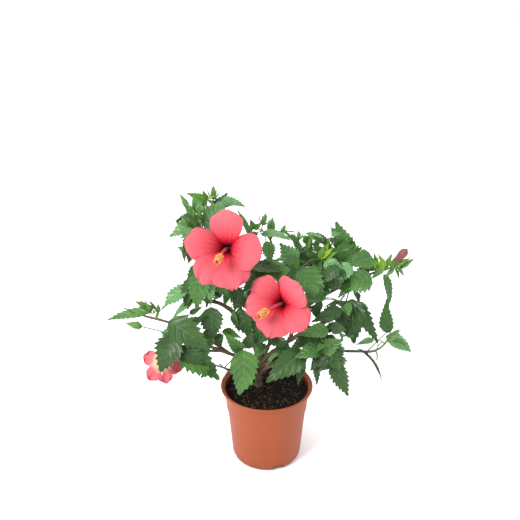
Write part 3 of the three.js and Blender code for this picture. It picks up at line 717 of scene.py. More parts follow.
def leaf_points(leaf):
    """The blade's vertices, folded, waved, crumpled, curled along its arc and set in its place."""
    shape = leaf_shape(leaf["leading"])
    base, tip = np.array(leaf["base"], float), np.array(leaf["tip"], float)
    chord = np.linalg.norm(tip - base)
    ahead = (tip - base) / chord
    normal = unit(np.asarray(leaf["faces"], float) - ahead * np.dot(leaf["faces"], ahead))
    side = np.cross(ahead, normal)
    droop = max(math.radians(leaf["droop"]), 0.02)
    length = chord * droop / (2 * math.sin(droop / 2))
    half_width = length * leaf["width"] / 2
    u, v, phase = shape.u, shape.v, leaf["phase"]
    x = (shape.across + shape.saw * leaf["teeth"]) * half_width
    fold = math.radians(leaf["fold"]) * (1 - 0.5 * v)
    ends = np.clip(v * 4, 0, 1) * np.clip((1 - v) * 3, 0, 1)
    wave = leaf["wave"] * half_width * np.sin(v * leaf["waves"] + phase + np.sign(u)) * u**2
    crumple = np.sin(v * 9 + u * 2.2 + phase * 2) + np.sin(v * 5 - u * 3.5 + phase)
    crumple = leaf["crumple"] * half_width * crumple
    lift = np.abs(x) * np.sin(fold) + (wave + crumple * np.abs(u)) * ends
    x = x * np.cos(fold)
    scale = length / LEAF_LENGTH
    lift = lift + shape.relief * scale + shape.lower * LEAF_THICKNESS * (0.4 + 0.6 * scale)
    bend = droop * (0.5 - shape.along)
    y = length * (math.sin(droop / 2) - np.sin(bend)) / droop - np.sin(bend) * lift
    z = length * (np.cos(bend) - math.cos(droop / 2)) / droop + np.cos(bend) * lift
    z = z + x * np.sin(math.radians(leaf["twist"]) * (v - 0.3))
    return base + x[:, None] * side + y[:, None] * ahead + z[:, None] * normal


def finish_leaf(rng, **leaf):
    """Fills in a leaf's small irregularities."""
    return dict(
        fold=rng.uniform(8, 30),
        wave=rng.uniform(0.05, 0.16),
        waves=rng.uniform(6, 13),
        crumple=rng.uniform(0.03, 0.08),
        phase=rng.uniform(0, 6.28),
        twist=rng.uniform(-20, 20),
        teeth=rng.uniform(0.20, 0.38),
        value=rng.uniform(-1, 1),
        **leaf,
    )


# ---- the seeded branching rule ----
GOLDEN = math.radians(137.5)
LEAF_SPACING = 10.5     # between nodes of a twig, where the mass doesn't say
LEAF_CLEARANCE = 12.0   # from the middle of a leading leaf
STALK_DETOUR = 25.0     # how much longer a stalk may be to pass beside a gap
MASS_REACH = 1.12       # how far out of a mass a tip may stand


def in_gap(*points):
    """Whether any of the points stands in a gap of the crown."""
    for point in points:
        share = -CAMERA_PLACE[1] / (point[1] - CAMERA_PLACE[1])
        x = CAMERA_PLACE[0] + (point[0] - CAMERA_PLACE[0]) * share
        z = CAMERA_PLACE[2] + (point[2] - CAMERA_PLACE[2]) * share
        if any(math.hypot(x - gap[0], z - gap[1]) < gap[2] for gap in GAPS):
            return True
    return False


def inside(mass, point):
    """How far out in a mass a point lies: 1 on its surface."""
    return np.linalg.norm((np.asarray(point) - mass["at"]) / np.array(mass["half"], float))


def spread(rng, count):
    """Directions spread evenly round a ball, with some jitter."""
    turn = rng.uniform(0, 6.28)
    for i in range(count):
        z = 1 - (2 * i + 1) / count
        ring = math.sqrt(1 - z * z)
        jitter = np.array([rng.uniform(-0.25, 0.25) for _ in range(3)])
        yield unit(np.array([ring * math.cos(turn + GOLDEN * i), ring * math.sin(turn + GOLDEN * i), z]) + jitter)


def grow_twigs(rng, name, mass):
    """The twigs of one mass: one carries the bough on, the others fork off it."""
    centre, half = np.array(mass["at"], float), np.array(mass["half"], float)
    boughs = [limbs()[bough] for bough, facts in BOUGHS.items() if facts[2] == name]
    if not boughs:
        top = centre + (0, 0, half[2] * 0.95)
        return [bent(top, centre + (3, 0, 0), centre - (0, 0, half[2] * 0.2), (0.9, 0.6), 16)]
    start, ahead = boughs[0].at(1.0), boughs[0].heading(1.0)
    outward = unit(centre - start)
    far = np.array(mass["far"], float) if "far" in mass else centre + outward * half * 0.5 + UP * half[2] * 0.12
    reach = np.linalg.norm(far - start)
    first = bent(start - ahead * 1.5, start + ahead * reach * 0.5, far, (boughs[0].radii[1], 0.8), 24)
    twigs = [first]
    for way in spread(rng, mass["twigs"] + 2):
        end = centre + way * half * 0.74
        if np.linalg.norm(end - start) < reach * 0.35 or np.linalg.norm(end - far) < reach * 0.2:
            continue
        if in_gap(end, (end + centre) / 2):
            continue
        along = rng.uniform(0.05, 0.6)
        fork = first.at(along)
        gap = np.linalg.norm(end - fork)
        bend = fork + first.heading(along) * gap * 0.35 + (end - fork) * 0.25 + UP * gap * 0.08
        twig = bent(fork, bend, end, (first.radius(along) * 0.75, 0.7), 20)
        if not in_gap(*twig.at(np.array([0.3, 0.5, 0.7]))):
            twigs.append(twig)
    return twigs


def grow_leaf(rng, mass, twig, along, turn, petiole, middles):
    """One leaf from a node of a twig, or nothing where it would stand outside its mass."""
    node, ahead = twig.at(along), twig.heading(along)
    around = spoke(ahead, turn, (0.2, 0.3, 0.93))
    stalk = petiole * rng.uniform(0.7, 1.25) * (1.1 - 0.6 * along)
    base = node + unit(around + ahead * 0.6 + UP * 0.25) * stalk
    length = mass["leaf"] * rng.uniform(0.8, 1.15) * (1.05 - 0.4 * along)
    outward = unit((base - mass["at"]) / np.array(mass["half"]))
    way = unit(around * 0.8 + outward * 0.7 + ahead * 0.3 - UP * rng.uniform(0.1, 0.9))
    for _ in range(3):
        tip = base + way * length
        if inside(mass, tip) < MASS_REACH:
            break
        way = unit(way - outward * 0.5 - UP * 0.15)
        length *= 0.9
    else:
        return None
    middle = (base + tip) / 2
    crowded = any(np.linalg.norm(middle - other) < LEAF_CLEARANCE for other in middles)
    if crowded or inside(mass, base) > 1.05 or in_gap(base, middle, tip):
        return None
    faces = UP * 0.9 + outward * 0.7 + np.array([rng.uniform(-0.4, 0.4) for _ in range(3)])
    young = along > 0.72 and rng.random() < mass["young"]
    # Painted light and shade: leaves high in their mass, and in masses with more light, get paler tones; the rest of
    # the tone is random.
    painted_lightness = rng.random() + mass["light"] * 0.8 + (base[2] - mass["at"][2]) / mass["half"][2] * 0.25
    tone = YOUNG if young else DARK_PAINTED_SHADE if painted_lightness < 0.62 else MID if painted_lightness < 1.15 else PALE_PAINTED_LIGHT
    if young:
        tip = base + (tip - base) * 0.7
    return dict(
        base=base, tip=tip, width=rng.uniform(0.56, 0.72), faces=faces, tone=tone,
        droop=rng.uniform(25, 65), node=node,
    )


def nearest_node(twigs, point):
    """The closest point of the stems to a place that can be reached beside the gaps."""
    point = np.asarray(point, float)
    spots = np.concatenate([stem.points for stem in (*twigs, *list(limbs().values())[1:])])
    away = np.linalg.norm(spots - point, axis=1) + 0.35 * np.maximum(0, spots[:, 2] - point[2])
    order = np.argsort(away)
    for index in order[away[order] < away[order[0]] + STALK_DETOUR]:
        if not in_gap((spots[index] + point) / 2):
            return spots[index]
    return spots[order[0]]


@functools.cache
def grown():
    """The twigs and leaves of the plant, by mass."""
    settings = bpy.context.scene.hibiscus_plant
    plan = {}
    for number, (name, mass) in enumerate(MASSES.items()):
        rng = random.Random(settings.seed + 100 * number)
        twigs = grow_twigs(rng, name, mass)
        leading = LEADING_LEAVES.get(name, ())
        middles = [(np.array(base) + tip) / 2.0 for base, tip, *_ in leading]
        leaves = [
            finish_leaf(rng, base=base, tip=tip, width=width, faces=faces, tone=tone, droop=droop,
                        node=nearest_node(twigs, base), leading=True)
            for base, tip, width, faces, droop, tone in leading
        ]
        turn = rng.uniform(0, 6.28)
        for twig in twigs:
            nodes = max(2, int(twig.length / mass.get("spacing", LEAF_SPACING))) if mass["leaf"] else 0
            for i in range(nodes):
                turn += GOLDEN
                along = min((i + 0.7) / nodes, 1)
                leaf = grow_leaf(rng, mass, twig, along, turn, settings.petiole / MM, middles)
                if leaf:
                    leaves.append(finish_leaf(rng, leading=False, **leaf))
        plan[name] = dict(twigs=twigs, leaves=leaves)
    return plan


# ---- materials ----
# Sockets of a Mix node for colours.
SHARE, FIRST, SECOND, MIXED = 0, 6, 7, 2


def add_node(tree, kind, inputs=(), output=0, stops=(), **settings):
    """Adds a shader node with its settings and colour stops, links or sets its inputs, and gives one output."""
    node = tree.nodes.new("ShaderNode" + kind)
    for key, value in settings.items():
        setattr(node, key, value)
    for i, (place, colour) in enumerate(stops):
        elements = node.color_ramp.elements
        element = elements[i] if i < len(elements) else elements.new(place)
        element.position, element.color = place, (*colour, 1)
    for key, value in inputs.items() if isinstance(inputs, dict) else enumerate(inputs):
        socket = node.inputs[key]
        if isinstance(value, bpy.types.NodeSocket):
            tree.links.new(value, socket)
        else:
            socket.default_value = (*value, 1) if socket.type == "RGBA" else value
    return node.outputs[output]


def blade_place(add):
    """The blade's own UV, the distance from its midrib in half-widths, and how far along it lies."""
    uv = add("UVMap", uv_map="blade")
    x = add("SeparateXYZ", (uv,))
    across = add("Math", (x, 2.0, -1.0), operation="MULTIPLY_ADD")
    return uv, add("Math", (across,), operation="ABSOLUTE"), x.node.outputs["Y"]


def object_noise(add, size, detail, stretch=(1, 1, 1)):
    """Noise whose patches are size millimetres across."""
    mapped = add("Mapping", {"Vector": add("TexCoord", output="Object"), "Scale": stretch})
    return add("TexNoise", {"Vector": mapped, "Scale": 1 / (size * MM), "Detail": detail}, "Fac")


def scaled(colour, factor):
    return tuple(min(1.0, c * factor) for c in colour)


def new_material(name, roughness, **constants):
    """A named material and what adds its nodes; constants are set on the shader's own sockets."""
    material = bpy.data.materials.new(name)
    material.use_nodes = True
    shader = material.node_tree.nodes["Principled BSDF"]
    shader.inputs["Roughness"].default_value = roughness
    for key, value in constants.items():
        shader.inputs[key.replace("_", " ")].default_value = value
    return material, functools.partial(add_node, material.node_tree)


def dress(material, colour, height, distance, strength):
    """Links a base colour and a bump to the shader; the bump's distance is in millimetres."""
    tree = material.node_tree
    shader = tree.nodes["Principled BSDF"]
    relief = add_node(tree, "Bump", {"Height": height, "Distance": distance * MM, "Strength": strength})
    tree.links.new(colour, shader.inputs["Base Color"])
    tree.links.new(relief, shader.inputs["Normal"])
    return material


@functools.cache
def leaf_material(tone):
    """Living hibiscus leaf: a waxy, quilted upper face with paler veins."""
    colour = tuple(getattr(bpy.context.scene.hibiscus_plant, tone + "_leaf"))
    material, add = new_material("hibiscus_leaf_" + tone, LEAF_ROUGHNESS[tone], IOR=1.42, Specular_IOR_Level=0.4)
    _, across, along = blade_place(add)
    # Lateral veins slant back from the midrib and fade towards the edge; the blade swells between them.
    slant = add("Math", (across, VEIN_SLANT), operation="MULTIPLY")
    slope = add("Math", (along, LATERAL_VEINS), operation="MULTIPLY")
    slope = add("Math", (slope, slant), operation="SUBTRACT")
    lateral = add("Math", (slope, 0.5), operation="PINGPONG")
    fade = add("Math", (1.15, across), operation="SUBTRACT", use_clamp=True)
    vein = add("Math", (lateral, -1 / 0.07, 1.0), operation="MULTIPLY_ADD", use_clamp=True)
    vein = add("Math", (vein, fade), operation="MULTIPLY")
    vein = add("Math", (vein, 0.6), operation="MULTIPLY")
    midrib = add("Math", (across, -1 / 0.055, 1.0), operation="MULTIPLY_ADD", use_clamp=True)
    vein = add("Math", (vein, midrib), operation="MAXIMUM")
    # Each leaf has its own tone, and is darker in patches. It is also darker along its veins: painted shade in the
    # grooves between the swellings.
    patches, fine = object_noise(add, 14, 3), object_noise(add, 2.2, 2)
    light = add("Math", (add("Attribute", output="Fac", attribute_name="tone"), 0.2, 0.97), operation="MULTIPLY_ADD")
    for share, gain, least in ((patches, 0.7, 0.65), (lateral, 0.6, 0.84)):
        light = add("Math", (light, add("Math", (share, gain, least), operation="MULTIPLY_ADD")), operation="MULTIPLY")
    base = {SHARE: fine, FIRST: scaled(colour, 0.72), SECOND: scaled(colour, 1.3)}
    base = add("Mix", base, MIXED, data_type="RGBA")
    share = add("Math", (patches, 0.5), operation="MULTIPLY")
    warm = scaled((colour[0] * 1.6, colour[1] * 1.1, colour[2] * 0.7), 1.0)
    base = add("Mix", {SHARE: share, FIRST: base, SECOND: warm}, MIXED, data_type="RGBA")
    base = add("Mix", {SHARE: 1.0, FIRST: base, SECOND: light}, MIXED, data_type="RGBA", blend_type="MULTIPLY")
    share = add("Math", (vein, 0.26), operation="MULTIPLY")
    rib = tuple(0.45 * c + 0.55 * d for c, d in zip(colour, srgb(VEIN_GREEN)))
    base = add("Mix", {SHARE: share, FIRST: base, SECOND: rib}, MIXED, data_type="RGBA")
    quilt = add("Math", (lateral, 1.2), operation="MULTIPLY")
    quilt = add("Math", (quilt, vein), operation="SUBTRACT")
    quilt = add("Math", (fine, 0.35, quilt), operation="MULTIPLY_ADD")
    return dress(material, base, quilt, 0.6, 0.9)


def patchy_material(name, colour, roughness, size, distance, dark=0.65, pale=1.3, strength=0.7):
    """Small soft plant parts: one colour with slight patches and a fine grain."""
    material, add = new_material(name, roughness)
    patches = object_noise(add, size, 3)
    base = {SHARE: patches, FIRST: scaled(colour, dark), SECOND: scaled(colour, pale)}
    return dress(material, add("Mix", base, MIXED, data_type="RGBA"), patches, distance, strength)


@functools.cache
def underside_material():
    """The back of a leaf: paler and matt, without the wax of the upper face."""
    colour = bpy.context.scene.hibiscus_plant.underside
    return patchy_material("hibiscus_leaf_underside", colour, 0.6, 9, 0.3, 0.75, 1.15, 0.5)


def stem_material(name, roughness, green_share):
    """Young hibiscus wood: thin grey-brown bark with fine lengthwise ribs over green shoots."""
    settings = bpy.context.scene.hibiscus_plant
    material, add = new_material(name, roughness)
    grain, patches = object_noise(add, 1.3, 4, (1, 1, 0.18)), object_noise(add, 7, 3)
    wood = {SHARE: grain, FIRST: scaled(settings.bark, 0.5), SECOND: scaled(settings.bark, 1.35)}
    wood = add("Mix", wood, MIXED, data_type="RGBA")
    shoot = {SHARE: grain, FIRST: scaled(settings.shoot, 0.75), SECOND: scaled(settings.shoot, 1.2)}
    shoot = add("Mix", shoot, MIXED, data_type="RGBA")
    share = add("Math", (patches, 1.2, green_share - 0.6), operation="MULTIPLY_ADD", use_clamp=True)
    base = add("Mix", {SHARE: share, FIRST: wood, SECOND: shoot}, MIXED, data_type="RGBA")
    return dress(material, base, add("Math", (grain, patches), operation="ADD"), 0.5, 0.8)


@functools.cache
def petal_material(back):
    """Hibiscus petal: thin, soft and matt, with fine streaks from the dark throat to the edge."""
    settings = bpy.context.scene.hibiscus_bloom
    petal, foot, eye, rear = (tuple(getattr(settings, key)) for key in ("petal", "petal_base", "eye", "petal_back"))
    material, add = new_material(
        "hibiscus_petal_back" if back else "hibiscus_petal", 0.6,
        Sheen_Weight=0.03, Sheen_Roughness=0.4, Specular_IOR_Level=0.15,
    )
    uv, across, out = blade_place(add)
    streaks = add("Mapping", {"Vector": uv, "Scale": (26, 1.3, 1)})
    streak = add("TexNoise", {"Vector": streaks, "Scale": 1.0, "Detail": 3.0}, "Fac")
    along = add("Math", (streak, 0.5), operation="SUBTRACT")
    along = add("Math", (along, 0.16, out), operation="MULTIPLY_ADD")
    if back:
        rings = [(0.28, srgb(0xD0B294)), (0.46, srgb(0xD09C84)), (0.6, rear), (1.0, rear)]
        base = add("ValToRGB", (along,), stops=rings)
    else:
        rings = [
            (0.0, scaled(eye, 0.6)), (0.09, eye), (0.13, srgb(0x6A0010)), (0.19, srgb(0x9E0C22)), (0.28, foot),
            (0.36, srgb(0xB82E3A)), (0.46, srgb(0xBA3E49)), (0.66, petal), (1.0, srgb(0xBC565F)),
        ]
        base = add("ValToRGB", (along,), stops=rings)
        # Veins fan out from the throat and die away before the edge.
        fan = add("Math", (across, 3.0), operation="MULTIPLY")
        fan = add("Math", (fan, 0.5), operation="PINGPONG")
        vein = add("Math", (fan, -1 / 0.09, 1.0), operation="MULTIPLY_ADD", use_clamp=True)
        reach = [(0.22, (0, 0, 0)), (0.34, (1, 1, 1)), (0.55, (0.4, 0.4, 0.4)), (0.8, (0, 0, 0))]
        vein = add("Math", (vein, add("ValToRGB", (out,), stops=reach)), operation="MULTIPLY")
        vein = add("Math", (vein, 0.28), operation="MULTIPLY")
        base = add("Mix", {SHARE: vein, FIRST: base, SECOND: srgb(VEIN_PINK)}, MIXED, data_type="RGBA")
    # Lightness from the streaks and from each petal's tone; the paler tone of the first petal is painted light.
    light = add("Math", (streak, 0.16, 0.92), operation="MULTIPLY_ADD")
    light = add("Math", (add("Attribute", output="Fac", attribute_name="tone"), 0.08, light), operation="MULTIPLY_ADD")
    base = add("Mix", {SHARE: 1.0, FIRST: base, SECOND: light}, MIXED, data_type="RGBA", blend_type="MULTIPLY")
    return dress(material, base, streak, 0.25, 0.5)


def pot_material():
    """Injection-moulded polypropylene in terracotta: satin, with faint cloudy flow marks and dust,
    darker at the foot, and darkened with painted shade on the inside above the soil."""
    colour = tuple(bpy.context.scene.hibiscus_pot.plastic)
    material, add = new_material("moulded_polypropylene_terracotta", 0.5, IOR=1.49, Specular_IOR_Level=0.3)
    cloud, speck = object_noise(add, 40, 3, (1, 1, 0.5)), object_noise(add, 1.2, 2)
    dusty = add("Math", (speck, 0.62), operation="SUBTRACT", use_clamp=True)
    dusty = add("Math", (dusty, 0.6), operation="MULTIPLY")
    place = add("TexCoord", output="Object")
    height = add("SeparateXYZ", (place,), "Z")
    low = add("Math", (height, -1 / (20 * MM), 1.0), operation="MULTIPLY_ADD", use_clamp=True)
    low = add("Math", (low, 0.25), operation="MULTIPLY")
    flat = add("Mapping", {"Vector": place, "Scale": (1, 1, 0)})
    out = add("VectorMath", (flat,), "Value", operation="LENGTH")
    # The collar leans outwards, so its inside is told by the radius less the lean at that height.
    lean = add("Math", (height, -COLLAR_SLOPE, out), operation="MULTIPLY_ADD")
    middle = COLLAR_RADII[0] - COLLAR_SLOPE * (SHOULDER + SHOULDER_HEIGHT) - WALL / 2
    inner = add("Math", (lean, middle * MM), operation="LESS_THAN")
    high = add("Math", (height, (SOIL_EDGE - 5) * MM), operation="GREATER_THAN")
    patchy = add("Math", (cloud, 0.35), operation="ADD", use_clamp=True)
    # Painted shade: the inside of the collar above the soil is darkened nearly to black, in cloudy patches.
    painted_inner_shade = add("Math", (inner, high), operation="MULTIPLY")
    painted_inner_shade = add("Math", (painted_inner_shade, patchy), operation="MULTIPLY")
    base = scaled(colour, 0.9)
    for share, factor in ((cloud, 1.1), (dusty, 1.5), (low, 0.55), (painted_inner_shade, 0.12)):
        base = {SHARE: share, FIRST: base, SECOND: scaled(colour, factor)}
        base = add("Mix", base, MIXED, data_type="RGBA")
    rough = add("Math", (cloud, 0.16, 0.42), operation="MULTIPLY_ADD")
    material.node_tree.links.new(rough, material.node_tree.nodes["Principled BSDF"].inputs["Roughness"])
    return dress(material, base, add("Math", (speck, cloud), operation="ADD"), 0.12, 0.35)


def soil_material():
    """Moist peat compost: near black, crumbly, with lighter dry specks."""
    colour = tuple(bpy.context.scene.hibiscus_pot.peat)
    material, add = new_material("moist_peat_compost", 0.95, Specular_IOR_Level=0.2)
    grain, fine = object_noise(add, 3.2, 6), object_noise(add, 0.9, 3)
    dry = [(0.3, scaled(colour, 0.4)), (0.5, colour), (0.66, scaled(colour, 2.2)), (0.8, srgb(DRY_PEAT))]
    base = add("ValToRGB", (grain,), stops=dry)
    share = add("Math", (fine, 0.5), operation="MULTIPLY")
    base = add("Mix", {SHARE: share, FIRST: base, SECOND: scaled(colour, 0.5)}, MIXED, data_type="RGBA")
    return dress(material, base, add("Math", (grain, fine), operation="ADD"), 1.5, 1.0)


# ---- pot and soil ----
FILLET_STEPS = 4


def rounded(profile):
    """A profile of (radius, height, fillet) corners with each fillet drawn as a short curve."""
    points = []
    for i, (r, z, fillet) in enumerate(profile):
        here = np.array([r, z])
        if not fillet:
            points.append(here)
            continue
        before = here + unit(np.array(profile[i - 1][:2]) - here) * fillet
        after = here + unit(np.array(profile[i + 1][:2]) - here) * fillet
        for t in np.linspace(0, 1, FILLET_STEPS + 1):
            points.append((1 - t) ** 2 * before + 2 * t * (1 - t) * here + t**2 * after)
    return points


def spun(profile, turns):
    """Turns a profile of (radius, height) points right round Z."""
    made = bmesh.new()
    corners = [made.verts.new((p[0], 0, p[1])) for p in profile]
    edges = [made.edges.new(pair) for pair in zip(corners, corners[1:])]
    bmesh.ops.spin(
        made, geom=corners + edges, cent=(0, 0, 0), axis=(0, 0, 1), angle=math.tau, steps=turns,
        use_merge=True, use_duplicate=False,
    )
    bmesh.ops.remove_doubles(made, verts=made.verts, dist=MERGE)
    bmesh.ops.recalc_face_normals(made, faces=made.faces)
    return made


def wall_profile(inset, foot):
    """Corners of the wall from the axis to the foot of the collar, moved inwards by inset."""
    return [
        (0, foot, 0),
        (WALL_RADII[0] - inset, foot, BASE_CORNER - inset / 2),
        (WALL_RADII[1] - inset, SHOULDER, 0.8),
        (COLLAR_RADII[0] - inset, SHOULDER + SHOULDER_HEIGHT, 0.8),
    ]


class HIBISCUS_OT_pot(bpy.types.Operator):
    """Spin the nursery pot with its lip and shoulder, and cut the drain slots round its foot"""

    bl_idname = "hibiscus.pot"
    bl_label = "Pot"

    def execute(self, context):
        under_lip = POT_HEIGHT - LIP_HEIGHT
        lip = [
            (COLLAR_RADII[1], under_lip, 0.9),
            (RIM_RADIUS - 0.7, under_lip + 0.5, 0.5),
            (RIM_RADIUS, POT_HEIGHT - 1.4, 0.6),
            (RIM_RADIUS - 0.6, POT_HEIGHT, 0.6),
            (RIM_RADIUS - LIP_WIDTH, POT_HEIGHT, 0.6),
            (COLLAR_RADII[1] - WALL, under_lip, 0.8),
        ]
        profile = rounded(wall_profile(0, 0) + lip + wall_profile(WALL, WALL)[::-1])
        pot = bpy.data.objects.new("pot_shell", bmesh_to_mesh("pot_wall", spun(profile, POT_TURNS)))
        cutter = bmesh.new()
        size = Matrix.Diagonal((DRAIN["width"], 2 * DRAIN["depth"], 2 * DRAIN["height"], 1))
        for i in range(DRAIN["count"]):
            turn = Matrix.Rotation(math.radians(DRAIN["first"] + 360 / DRAIN["count"] * i), 4, "Z")
            place = turn @ Matrix.Translation((0, -WALL_RADII[0], 0)) @ size
            block = bmesh.ops.create_cube(cutter, size=1, matrix=place)["verts"]
            rims = list({e for v in block for e in v.link_edges})
            bmesh.ops.bevel(cutter, geom=rims, offset=0.8, affect="EDGES", segments=2, profile=0.5, material=-1)
        slots = bpy.data.objects.new("slots", bmesh_to_mesh("slots", cutter))
        for thing in (pot, slots):
            context.scene.collection.objects.link(thing)
        cut = pot.modifiers.new("drain slots", "BOOLEAN")
        cut.operation, cut.object, cut.solver = "DIFFERENCE", slots, "EXACT"
        context.view_layer.update()
        shell = bpy.data.meshes.new_from_object(pot.evaluated_get(context.evaluated_depsgraph_get()))
        for thing in (pot, slots):
            bpy.data.objects.remove(thing)
        put("nursery_pot", shell, [pot_material()], ["pot"], crease=40)
        return {"FINISHED"}


class HIBISCUS_OT_soil(bpy.types.Operator):
    """Fill the pot with peat, and strew crumbs and fibres over it"""

    bl_idname = "hibiscus.soil"
    bl_label = "Soil"

    def execute(self, context):
        settings = context.scene.hibiscus_pot
        rng = random.Random(SOIL_SEED)
        inset = WALL + SOIL_GAP
        edge = COLLAR_RADII[1] - inset - 0.9
        wall = rounded(wall_profile(inset, inset) + [(edge + 0.2, SOIL_EDGE - 2, 0)])
        top = [(edge * (1 - t), SOIL_EDGE + (SOIL_TOP - SOIL_EDGE) * t) for t in np.linspace(0, 1, 48)]
        made = spun(wall + top, SOIL_TURNS)
        for v in made.verts:
            if v.co.z > SOIL_EDGE - 1:
                share = min(1, (edge + 1 - math.hypot(v.co.x, v.co.y)) / 4)
                rough = noise.fractal(Vector(v.co) * 0.13, 0.8, 2.1, 4)
                v.co.z += share * (2.0 * rough + noise.noise(Vector(v.co) * 0.45))
        put("peat", bmesh_to_mesh("peat", made), [soil_material()], ["soil"], crease=70)

        crumbs, ball = Bunch(), ball_shape()
        for _ in range(CRUMBS):
            turn, reach = rng.uniform(0, math.tau), edge * math.sqrt(rng.random()) - 1
            x, y = reach * math.cos(turn), reach * math.sin(turn)
            big = settings.crumb / MM * rng.random() ** 2.2 + 0.5
            squash = np.array([rng.uniform(0.6, 1.3) for _ in range(3)]) * big * 0.5
            rough = 1 + 0.35 * np.array([noise.noise(Vector(p) * 1.7 + Vector((x, y, 0))) for p in ball.points])
            z = SOIL_TOP - (SOIL_TOP - SOIL_EDGE) * reach / edge + rng.uniform(-0.4, 0.8)
            crumbs.add(ball, ball.points * rough[:, None] * squash + (x, y, z))
        put("soil_crumbs", crumbs, [soil_material()], crease=80)

        fibres, strand = Bunch(), tube_shape(4, 5)
        for _ in range(FIBRES):
            turn, reach = rng.uniform(0, math.tau), (edge - 5) * math.sqrt(rng.random())
            start = np.array([reach * math.cos(turn), reach * math.sin(turn), SOIL_TOP + rng.uniform(0, 1.4)])
            way, length = rng.uniform(0, math.tau), rng.uniform(2, 8)
            end = start + (math.cos(way) * length, math.sin(way) * length, rng.uniform(-1.2, 1.0))
            if math.hypot(end[0], end[1]) > edge - 2:
                continue
            bend = (start + end) / 2 + (rng.uniform(-2, 2), rng.uniform(-2, 2), rng.uniform(0, 1.6))
            thin = rng.uniform(0.14, 0.36)
            fibres.tube(strand, bent(start, bend, end, (thin, thin), 8), tapered((0, thin)))
        put("soil_fibres", fibres, [patchy_material("coir_fibre", settings.fibre, 0.85, 6, 0.2)])
        return {"FINISHED"}


# ---- stems ----
def bark_radius(limb, flare):
    """Radius along a limb with ribs, leaf scars and a flared foot."""

    def radius_at(height, angle):
        swell = 1 + (flare - 1) * np.clip(1 - height * 4, 0, 1) ** 2
        distance = height * limb.length
        scar = 0.16 * np.exp(-((((distance + 4) % SCAR_SPACING) - 6) / 1.1) ** 2)
        rib = 0.035 * np.sin(5 * angle + distance * 0.11) + 0.03 * np.sin(9 * angle - distance * 0.23)
        lump = 0.05 * np.sin(distance * 0.35 + 2 * angle) + 0.04 * np.sin(distance * 0.9 + angle)
        return limb.radius(height) * swell * (1 + scar + rib + lump)

    return radius_at


class HIBISCUS_OT_stems(bpy.types.Operator):
    """Cover the trunk and every bough with ribbed bark"""

    bl_idname = "hibiscus.stems"
    bl_label = "Trunk and boughs"

    def execute(self, context):
        bark = stem_material("hibiscus_bark", WOODY, 0.12)
        shoot = stem_material("hibiscus_green_bark", WOODY, 0.5)
        for name, limb in limbs().items():
            flare = BOUGH_FLARE
            if name == "trunk":
                limb = Limb([np.array(TRUNK_FOOT) - (0, 0, TRUNK_SUNK), TRUNK_FORK], TRUNK_RADII)
                flare = TRUNK_FLARE
            bunch = Bunch()
            bunch.tube(tube_shape(18, max(8, int(limb.length / 1.6))), limb, bark_radius(limb, flare))
            put("bark_" + name, bunch, [shoot if name.startswith("stalk") else bark], [name])
        return {"FINISHED"}


class HIBISCUS_OT_twigs(bpy.types.Operator):
    """Grow the twigs and leaf stalks on from the boughs"""

    bl_idname = "hibiscus.twigs"
    bl_label = "Twigs and leaf stalks"

    def execute(self, context):
        twigs, stalks, thin = Bunch(), Bunch(), tube_shape(6, 6)
        for plan in grown().values():
            for twig in plan["twigs"]:
                twigs.tube(tube_shape(8, max(6, int(twig.length / 4))), twig, bark_radius(twig, 1.2))
            for leaf in plan["leaves"]:
                base, node = np.array(leaf["base"], float), np.array(leaf["node"], float)
                ahead = unit(np.array(leaf["tip"]) - base)
                gap = np.linalg.norm(base - node)
                bend = node * 0.45 + base * 0.55 - ahead * gap * 0.12 + UP * gap * 0.18
                stalk = bent(node, bend, base + ahead * 1.5, (0.75, 0.55), 12)
                stalks.tube(thin, stalk, tapered((0, 0.8), (0.5, 0.55), (1, 0.6)))
        put("twigs", twigs, [stem_material("hibiscus_twig", WOODY, 0.45)])
        put("leaf_stalks", stalks, [stem_material("hibiscus_leaf_stalk", 0.5, 1.0)])
        return {"FINISHED"}


class HIBISCUS_OT_leaves(bpy.types.Operator):
    """Hang the leaves of every mass"""

    bl_idname = "hibiscus.leaves"
    bl_label = "Leaves"

    def execute(self, context):
        skins = [leaf_material(tone) for tone in LEAF_TONES] + [underside_material()]
        for name, plan in grown().items():
            bunch = Bunch()
            for leaf in plan["leaves"]:
                shape, upper = leaf_shape(leaf["leading"]), LEAF_TONES.index(leaf["tone"])
                slots = [len(LEAF_TONES) if slot else upper for slot in shape.slots]
                bunch.add(shape, leaf_points(leaf), shape.uv, leaf["value"], slots)
            put(name.replace("mass", "leaves"), bunch, skins, [name], crease=60)
        return {"FINISHED"}


# ---- blooms and buds ----
PETALS = 5
PETAL_CUT = (22, 26)
PETAL_OUTLINE = (
    (0.0, 0.10), (0.1, 0.25), (0.2, 0.45), (0.3, 0.63), (0.4, 0.77), (0.5, 0.88), (0.6, 0.96), (0.68, 0.99),
    (0.76, 1.0), (0.83, 0.97), (0.89, 0.89), (0.94, 0.75), (0.975, 0.56), (1.0, 0.3),
)
BUD_OUTLINE = (
    (0.02, 0), (0.12, 0.03), (0.19, 0.14), (0.22, 0.3), (0.2, 0.48), (0.14, 0.68), (0.07, 0.86), (0.0, 1.0),
)
BUD_TURNS = 15
STAMENS = 90
# Kinds of bud: girth, and the length and spread of the bracts round its foot.
BUD_KINDS = {
    "spiky": (0.9, 1.0, 0.5),
    "long": (0.65, 0.6, 0.28),
    "plump": (0.95, 0.6, 0.55),
    "rolled": (0.82, 0.6, 0.28),
}
BUD_HINT = (0.3, 0.9, 0.2)
STAMEN_HINT = (0.2, 0.4, 0.9)


@functools.cache
def petal_shape():
    """A flat strip for one petal: x across from -1 to 1, y along from 0 to 1."""
    return blade_shape(np.linspace(-1, 1, PETAL_CUT[0] + 1), np.linspace(0, 1, PETAL_CUT[1] + 1))


